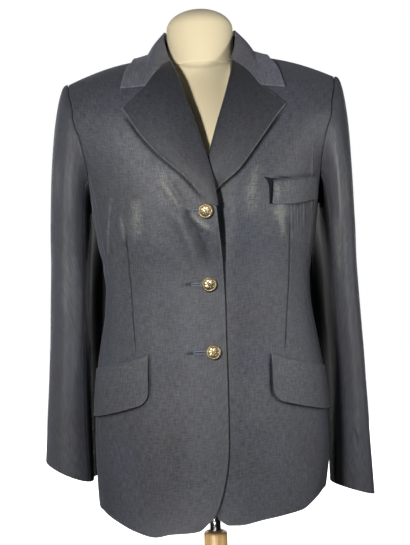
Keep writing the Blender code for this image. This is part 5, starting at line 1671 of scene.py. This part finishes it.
def domed_button(petals, relief, steps=96):
    """A shank button as rings: a low dome with a rosette of petals, a beaded rim, a rolled edge and a shank.

    The rosette is a boss at the middle, petals as a power of the cosine of the angle, and a ring of beads.
    """
    share = np.concatenate([np.linspace(0.02, 0.97, 40), [1.0]])[::-1]
    turn = np.linspace(0, 2 * math.pi, steps, endpoint=False)
    s, a = share[:, None], turn[None, :]
    dome = BUTTON_HEIGHT - 0.0019 * s**2 - 0.0006
    petal = np.abs(np.cos(a * petals / 2)) ** 0.6
    leaf = ease(s, 0.16, 0.26) * (1 - ease(s, 0.30 + 0.34 * petal, 0.40 + 0.34 * petal))
    leaf = leaf * (0.45 + 0.55 * petal)
    vein = 1 - 0.35 * bell(np.sin(a * petals / 2), 0.16) * ease(s, 0.2, 0.3)
    boss = 1 - ease(s, 0.08, 0.15)
    beads = bell(s, 0.055, 0.86) * (0.35 + 0.65 * np.abs(np.cos(a * 14)))
    high = np.clip(np.maximum(np.maximum(leaf * vein, boss), beads * 0.9), 0, 1)
    across, up = s * np.cos(a) * BUTTON_RADIUS, s * np.sin(a) * BUTTON_RADIUS
    face = np.stack([across, up, dome + relief * high], axis=-1)
    lower = [
        np.stack([r * np.cos(turn), r * np.sin(turn), np.full(steps, h / BUTTON_RADIUS)], axis=-1)
        for r, h in BUTTON_EDGE[::-1]
    ]
    tone = np.concatenate([np.full((len(BUTTON_EDGE), steps), 0.45), np.broadcast_to(high, face.shape[:2])])
    return np.concatenate([np.stack(lower) * BUTTON_RADIUS, face]), tone


class OBJECT_OT_blazer_buttons(bpy.types.Operator):
    """Build the gilt buttons with their rosettes"""

    bl_idname = "object.blazer_buttons"
    bl_label = "Buttons"
    bl_options = {"REGISTER", "UNDO"}

    def execute(self, context):
        settings = context.scene.blazer_trim
        finish = finish_named("aged_gilt", aged_gilt, tuple(settings.gilt), tuple(settings.patina))
        rings, tone = domed_button(settings.petals, settings.relief)
        for number, button in enumerate(BUTTONS, start=1):
            ground, across, up, out = button_place(button.x, button.height)
            turned = math.radians(11 * number)
            first = across * math.cos(turned) + up * math.sin(turned)
            second = up * math.cos(turned) - across * math.sin(turned)
            placed = ground + rings[..., :1] * first + rings[..., 1:2] * second
            placed = placed + (rings[..., 2:] + SHANK_LENGTH) * out
            ends = np.stack([placed[0].mean(0), placed[-1].mean(0)])
            relief = np.concatenate([tone.ravel(), [0.3, 1.0]])
            obj = ringed_object(f"gilt_button_{number}", placed, ends, finish, relief)
            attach(obj, "root")
            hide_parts(f"button_{number}")
        return {"FINISHED"}


def ringed_object(name, rings, ends, finish, relief=None):
    """A closed mesh of rings, lowest first, whose two ends are fans about the two end points."""
    count = rings.shape[1]
    points = np.concatenate([rings.reshape(-1, 3), ends])
    k = np.arange(count)
    last = len(points) - 2 - count
    after = (k + 1) % count
    foot = np.stack([after, k, np.full(count, len(points) - 2)], axis=-1)
    head = np.stack([last + k, last + after, np.full(count, len(points) - 1)], axis=-1)
    faces = [part.tolist() for part in (ring_faces(len(rings), count), foot, head)]
    mesh = bpy.data.meshes.new(name)
    mesh.from_pydata(points.tolist(), [], sum(faces, []))
    if relief is not None:
        mesh.attributes.new("relief", "FLOAT", "POINT").data.foreach_set("value", relief.astype(np.float32))
    return linked_object(name, mesh, (finish,), 55)


def tube_rings(path, normal, radius, sides=10):
    """Rings of a tube along a closed path: at each point a circle square to the path, of the radius there."""
    along = unit(np.roll(path, -1, axis=0) - np.roll(path, 1, axis=0))
    beside = unit(np.cross(along, normal))
    above = np.cross(beside, along)
    turn = np.linspace(0, 2 * math.pi, sides, endpoint=False)[None, :, None]
    circle = np.cos(turn) * beside[:, None] + np.sin(turn) * above[:, None]
    return path[:, None] + radius[:, None, None] * circle


class OBJECT_OT_blazer_buttonholes(bpy.types.Operator):
    """Build the hand-worked buttonholes"""

    bl_idname = "object.blazer_buttonholes"
    bl_label = "Buttonholes"
    bl_options = {"REGISTER", "UNDO"}

    def execute(self, context):
        settings = context.scene.blazer_trim
        finish = finish_named("buttonhole_thread", buttonhole_thread, tuple(settings.thread))
        turn = np.linspace(0, 2 * math.pi, 260, endpoint=False)
        radius = THREAD_RADIUS + THREAD_TWIST * np.sin(turn * 46)
        for number, button in enumerate(BUTTONS, start=1):
            inner_end = button.x + HOLE_PAST_BUTTON
            middle, half = (inner_end - button.hole_start) / 2, (inner_end + button.hole_start) / 2
            away = middle + half * power(np.cos(turn), 0.75)
            rise = button.height + HOLE_HALF_HEIGHT * power(np.sin(turn), 0.55)
            spots = chart(-away, rise)
            folds = crease_field(FRONT_CREASES[RIGHT], away, rise) * context.scene.blazer_cloth.folds
            path = lifted(RIGHT, spots, 0.0004) + lifted_normal(RIGHT, spots) * folds[:, None]
            path = path + (0, 0, HEM_HEIGHT)
            rings = tube_rings(path, lifted_normal(RIGHT, spots), radius)
            faces = ring_faces(len(rings) + 1, rings.shape[1]) % rings[..., 0].size
            obj = mesh_object(f"buttonhole_{number}", rings.reshape(-1, 3), faces[:, ::-1], (finish,))
            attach(obj, "root")
        return {"FINISHED"}


def form_radius(heights, around):
    """How far the torso reaches from the neck's axis at each height and angle, read round that axis.

    Where the torso has closed below a height, its reach there is 0. In front, it is cut back to the
    throat's line.
    """
    angles = np.linspace(0, math.pi, 241)
    dense = np.linspace(0, 1, 260)[:, None]
    levels = FORM_BOTTOM + dense * (top_level(angles) - 0.002 - FORM_BOTTOM)
    surface = form_surface(np.broadcast_to(angles, levels.shape), levels)
    top = surface[-1]
    radius = np.zeros((len(heights), len(around)))
    for row, height in enumerate(heights):
        x, y = [
            np.array([np.interp(height, surface[:, k, 2], surface[:, k, axis]) for k in range(len(angles))])
            for axis in (0, 1)
        ]
        reach = np.where(top[:, 2] > height, np.hypot(x, y - NECK_Y), 0.0)
        turn = np.arctan2(x, NECK_Y - y)
        order = np.argsort(turn)
        radius[row] = np.interp(around, turn[order], reach[order])
    front = np.exp(-((radius * np.sin(around) / THROAT_WIDTH) ** 6)) * ease(np.cos(around), 0.0, 0.35)
    throat = smooth(*np.array(THROAT).T, heights)[:, None]
    return radius - front * np.clip(radius - throat, 0, None) * (heights > THROAT[0][0])[:, None]


class OBJECT_OT_blazer_dress_form(bpy.types.Operator):
    """Build the dress form's torso and domed neck"""

    bl_idname = "object.blazer_dress_form"
    bl_label = "Dress Form"
    bl_options = {"REGISTER", "UNDO"}

    def execute(self, context):
        settings = context.scene.blazer_form
        half_turns = np.linspace(0, math.pi, 73)
        dome_from = NECK_TOP - NECK_DOME
        rounding = np.linspace(0, math.pi / 2, 7)
        heights = np.concatenate([
            FORM_BOTTOM + FORM_EDGE_ROUND * (1 - np.cos(rounding)),
            np.linspace(FORM_BOTTOM + 0.010, 0.655, 90),
            np.linspace(0.656, dome_from, 120),
        ])
        body = form_radius(heights, half_turns)
        body[: len(rounding)] -= FORM_EDGE_ROUND * (1 - np.sin(rounding))[:, None]
        slim = NECK_RADIUS - NECK_TAPER * (1 - ease(heights, NECK_SEAM, dome_from))
        neck = np.where(heights < NECK_FROM, 0.0, slim)[:, None]
        near = np.clip(1 - np.abs(body - neck) / settings.neck_blend, 0, 1)
        blend = settings.neck_blend / 4 * near**2 * ease(heights, NECK_FROM, 0.64)[:, None]
        shell = np.maximum(body, neck) + blend - 0.0007 * bell(heights, 0.0011, NECK_SEAM)[:, None]
        x = shell * np.sin(half_turns)
        y = NECK_Y - shell * np.cos(half_turns)
        half = np.stack([x, y, np.broadcast_to(heights[:, None], x.shape)], axis=-1)
        rings = np.concatenate([half, half[:, -2:0:-1] * (-1, 1, 1)], axis=1)
        whole_turn = np.concatenate([half_turns, 2 * math.pi - half_turns[-2:0:-1]])
        up = np.linspace(0, math.pi / 2, 24)[1:-1, None]
        cap_x = NECK_RADIUS * np.cos(up) * np.sin(whole_turn)
        cap_y = NECK_Y - NECK_RADIUS * np.cos(up) * np.cos(whole_turn)
        cap = np.stack([cap_x, cap_y, dome_from + NECK_DOME * np.sin(up) + 0 * whole_turn], axis=-1)
        rings = np.concatenate([rings, cap]) + (0, 0, HEM_HEIGHT)
        ends = np.array([(0, NECK_Y, FORM_BOTTOM), (0, NECK_Y, NECK_TOP)]) + (0, 0, HEM_HEIGHT)
        finish = finish_named("cream_jersey", cream_jersey, tuple(settings.cover))
        obj = ringed_object("form_cover", rings, ends, finish)
        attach(obj, "root")
        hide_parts("dress_form")
        return {"FINISHED"}


def turned(name, profile, finish, node, slot_name, steps=96):
    """A turned piece: its profile of (radius, height) from bottom to top, carried round the upright axis."""
    profile = np.array(profile, float)
    turn = np.linspace(0, 2 * math.pi, steps, endpoint=False)
    radii, heights = profile[1:-1, :1], profile[1:-1, 1:]
    rings = np.stack([radii * np.cos(turn), radii * np.sin(turn), heights + 0 * turn], axis=-1)
    ends = np.array([(0, 0, profile[0, 1]), (0, 0, profile[-1, 1])])
    obj = ringed_object(name, rings, ends, finish)
    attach(obj, "root")
    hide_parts(node)
    return obj


def rounded_corner(radius, height, by, first, last, steps=5):
    """Points of a quarter round about (radius, height), between two angles in degrees."""
    angles = np.radians(np.linspace(first, last, steps))
    return [(radius + across, height + up) for across, up in arc(by, angles)]


class OBJECT_OT_blazer_stand(bpy.types.Operator):
    """Build the rod, the post and the base"""

    bl_idname = "object.blazer_stand"
    bl_label = "Stand"
    bl_options = {"REGISTER", "UNDO"}

    def execute(self, context):
        settings = context.scene.blazer_form
        steel = finish_named("polished_steel", polished_steel, tuple(settings.steel))
        upright = finish_named("post_wood", turned_wood, tuple(settings.wood), (160.0, 160.0, 9.0))
        level = finish_named("base_wood", turned_wood, tuple(settings.wood), (9.0, 140.0, 140.0))
        low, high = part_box("stand_rod")
        rod = high.x
        turned("form_rod", [(0, low.z), (rod, low.z), (rod, high.z), (0, high.z)], steel, "stand_rod", "rod")
        low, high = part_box("stand_post")
        top, wide, bore = high.z, 0.0185, 0.0122
        profile = [(0, low.z), (wide + 0.014, low.z), (wide + 0.0138, low.z + 0.003)]
        flare = np.linspace(0, 1, 14)
        profile += [(wide + 0.0132 * (1 - f) ** 2.2, low.z + 0.006 + 0.034 * f) for f in flare]
        profile += [(wide, top - 0.060)] + rounded_corner(wide - 0.0030, top - 0.0030, 0.0030, 0, 90)
        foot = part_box("stand_rod")[0].z - 0.0003
        profile += [(bore + 0.0012, top), (bore, top - 0.0012), (bore, foot), (0, foot)]
        turned("turned_post", profile, upright, "stand_post", "wood")
        low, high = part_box("stand_base")
        wide, tall = high.x, high.z
        profile = [(0, low.z), (wide - 0.004, low.z)]
        profile += rounded_corner(wide - 0.003, low.z + 0.003, 0.003, -90, 0)
        profile += rounded_corner(wide - 0.008, tall - 0.008, 0.008, 0, 90, 9)
        profile += [(wide - 0.024, tall), (wide - 0.026, tall - 0.0012), (wide - 0.028, tall), (0, tall)]
        turned("turned_base", profile, level, "stand_base", "wood", 160)
        return {"FINISHED"}


CAMERA_PLACE = (-0.00368, -1.5, 0.626)
CAMERA_ROLL = math.atan(0.0322)  # the photograph leans a little
CAMERA_LENS = 41.28
CAMERA_SENSOR = 24.0
FLOOR_REACH = 6.0
FLOOR_DROP = 0.0005
CHEST = (0.0, 0.0, 0.62)
WARM_WHITE = (1.0, 0.985, 0.96)
# The narrow light on the post, near the floor
LOW_PLACE = (-0.35, -1.20, 0.06)
LOW_AIM = (0.0, 0.0, 0.10)
LOW_SIZE = 0.08
LOW_SPREAD = 22
# The lights round the blazer: which power, then azimuth in degrees, distance, height and width in metres
LIGHTS = {
    "key_left": ("key_power", -20, 1.08, 0.80, 0.09),
    "front_fill": ("fill_power", 0, 2.60, 1.05, 1.40),
    "key_right": ("second_power", 54, 1.12, 0.70, 0.09),
    "side_left": ("side_power", -78, 1.85, 0.70, 0.90),
    "side_right": ("side_power", 80, 1.85, 0.70, 0.90),
    "behind_left": ("back_power", -163, 2.40, 0.80, 1.20),
    "behind_right": ("back_power", 163, 2.40, 0.80, 1.20),
}


def area_light(name, place, aim, watts, width, height):
    """A soft box at a place, facing its aim."""
    data = bpy.data.lights.new(name, "AREA")
    data.shape = "RECTANGLE"
    data.size = width
    data.size_y = height
    data.energy = watts
    data.color = WARM_WHITE
    light = bpy.data.objects.new(name, data)
    bpy.context.scene.collection.objects.link(light)
    light.location = place
    light.visible_camera = False
    light.rotation_euler = (Vector(aim) - Vector(place)).to_track_quat("-Z", "Y").to_euler()
    return light


def white_floor(colour):
    """A wide floor that glows white, and that neither lights the blazer nor mirrors in it."""
    made, tree, shader, place = new_finish("floor", roughness=0.9, emission_strength=1.10)
    mottle = noise(tree, place, 1.5, 2.0)
    set_socket(tree, shader, "Base Color", mixed(tree, mottle, colour, shade_of(colour, 0.98)))
    shader.inputs["Emission Color"].default_value = (1, 1, 1, 1)
    corners = np.array([(-1, -1), (1, -1), (1, 1), (-1, 1)]) * FLOOR_REACH
    points = np.column_stack([corners, np.full(4, -FLOOR_DROP)])
    floor = mesh_object("studio_floor", points, np.array([[0, 1, 2, 3]]), (made,))
    floor.visible_glossy = False
    floor.visible_diffuse = False


def white_world():
    """White surroundings that the camera sees, and that neither light the blazer nor mirror in it."""
    world = bpy.data.worlds.new("studio_white")
    world.use_nodes = True
    background = world.node_tree.nodes["Background"]
    background.inputs["Color"].default_value = (1, 1, 1, 1)
    background.inputs["Strength"].default_value = 1.0
    world.cycles_visibility.diffuse = False
    world.cycles_visibility.glossy = False
    return world


def photo_camera():
    """The camera that took the photograph: level, in front of the blazer, with a slight roll."""
    data = bpy.data.cameras.new("photo_view")
    data.sensor_fit = "AUTO"
    data.sensor_width = CAMERA_SENSOR
    data.lens = CAMERA_LENS
    camera = bpy.data.objects.new("photo_view", data)
    bpy.context.scene.collection.objects.link(camera)
    camera.location = CAMERA_PLACE
    camera.rotation_mode = "QUATERNION"
    camera.rotation_quaternion = Quaternion((1, 0, 0), math.pi / 2) @ Quaternion((0, 0, 1), -CAMERA_ROLL)
    return camera


class OBJECT_OT_blazer_studio(bpy.types.Operator):
    """Set up the floor, the studio lights and the camera"""

    bl_idname = "object.blazer_studio"
    bl_label = "Studio"
    bl_options = {"REGISTER", "UNDO"}

    def execute(self, context):
        settings = context.scene.blazer_studio
        white_floor(tuple(settings.floor))
        for name, (power_name, azimuth, distance, height, width) in LIGHTS.items():
            turn = math.radians(azimuth)
            place = (distance * math.sin(turn), -distance * math.cos(turn), height)
            area_light(name, place, CHEST, getattr(settings, power_name), width, width * 1.2)
        low = area_light("floor_light", LOW_PLACE, LOW_AIM, settings.floor_power, LOW_SIZE, LOW_SIZE)
        low.data.spread = math.radians(LOW_SPREAD)
        context.scene.world = white_world()
        context.scene.view_settings.view_transform = "Standard"
        context.scene.camera = photo_camera()
        return {"FINISHED"}


class VIEW3D_PT_blazer(bpy.types.Panel):
    """Lists the sizes, the colours and the steps that build the blazer"""

    bl_idname = "VIEW3D_PT_blazer"
    bl_label = "Blazer"
    bl_space_type = "VIEW_3D"
    bl_region_type = "UI"
    bl_category = "Blazer"

    def draw(self, context):
        layout = self.layout
        for group, _ in GROUPS:
            settings = getattr(context.scene, group)
            box = layout.box()
            for key in settings.__annotations__:
                box.prop(settings, key)
        for operator in OPERATORS:
            layout.operator(operator.bl_idname)


OPERATORS = (
    OBJECT_OT_blazer_studio,
    OBJECT_OT_blazer_body,
    OBJECT_OT_blazer_lapels,
    OBJECT_OT_blazer_collar,
    OBJECT_OT_blazer_sleeves,
    OBJECT_OT_blazer_flaps,
    OBJECT_OT_blazer_pocket_mouth,
    OBJECT_OT_blazer_buttonholes,
    OBJECT_OT_blazer_buttons,
    OBJECT_OT_blazer_dress_form,
    OBJECT_OT_blazer_stand,
)
GROUPS = (
    ("blazer_cloth", BlazerClothSettings),
    ("blazer_trim", BlazerTrimSettings),
    ("blazer_form", DressFormSettings),
    ("blazer_studio", StudioSettings),
)


def register():
    for key, group in GROUPS:
        bpy.utils.register_class(group)
        setattr(bpy.types.Scene, key, bpy.props.PointerProperty(type=group))
    for made in OPERATORS + (VIEW3D_PT_blazer,):
        bpy.utils.register_class(made)


def unregister():
    for made in (VIEW3D_PT_blazer,) + OPERATORS[::-1]:
        bpy.utils.unregister_class(made)
    for key, group in GROUPS[::-1]:
        delattr(bpy.types.Scene, key)
        bpy.utils.unregister_class(group)


def main():
    register()
    for operator in OPERATORS:
        group, name = operator.bl_idname.split(".")
        getattr(getattr(bpy.ops, group), name)()


if __name__ == "__main__":
    main()
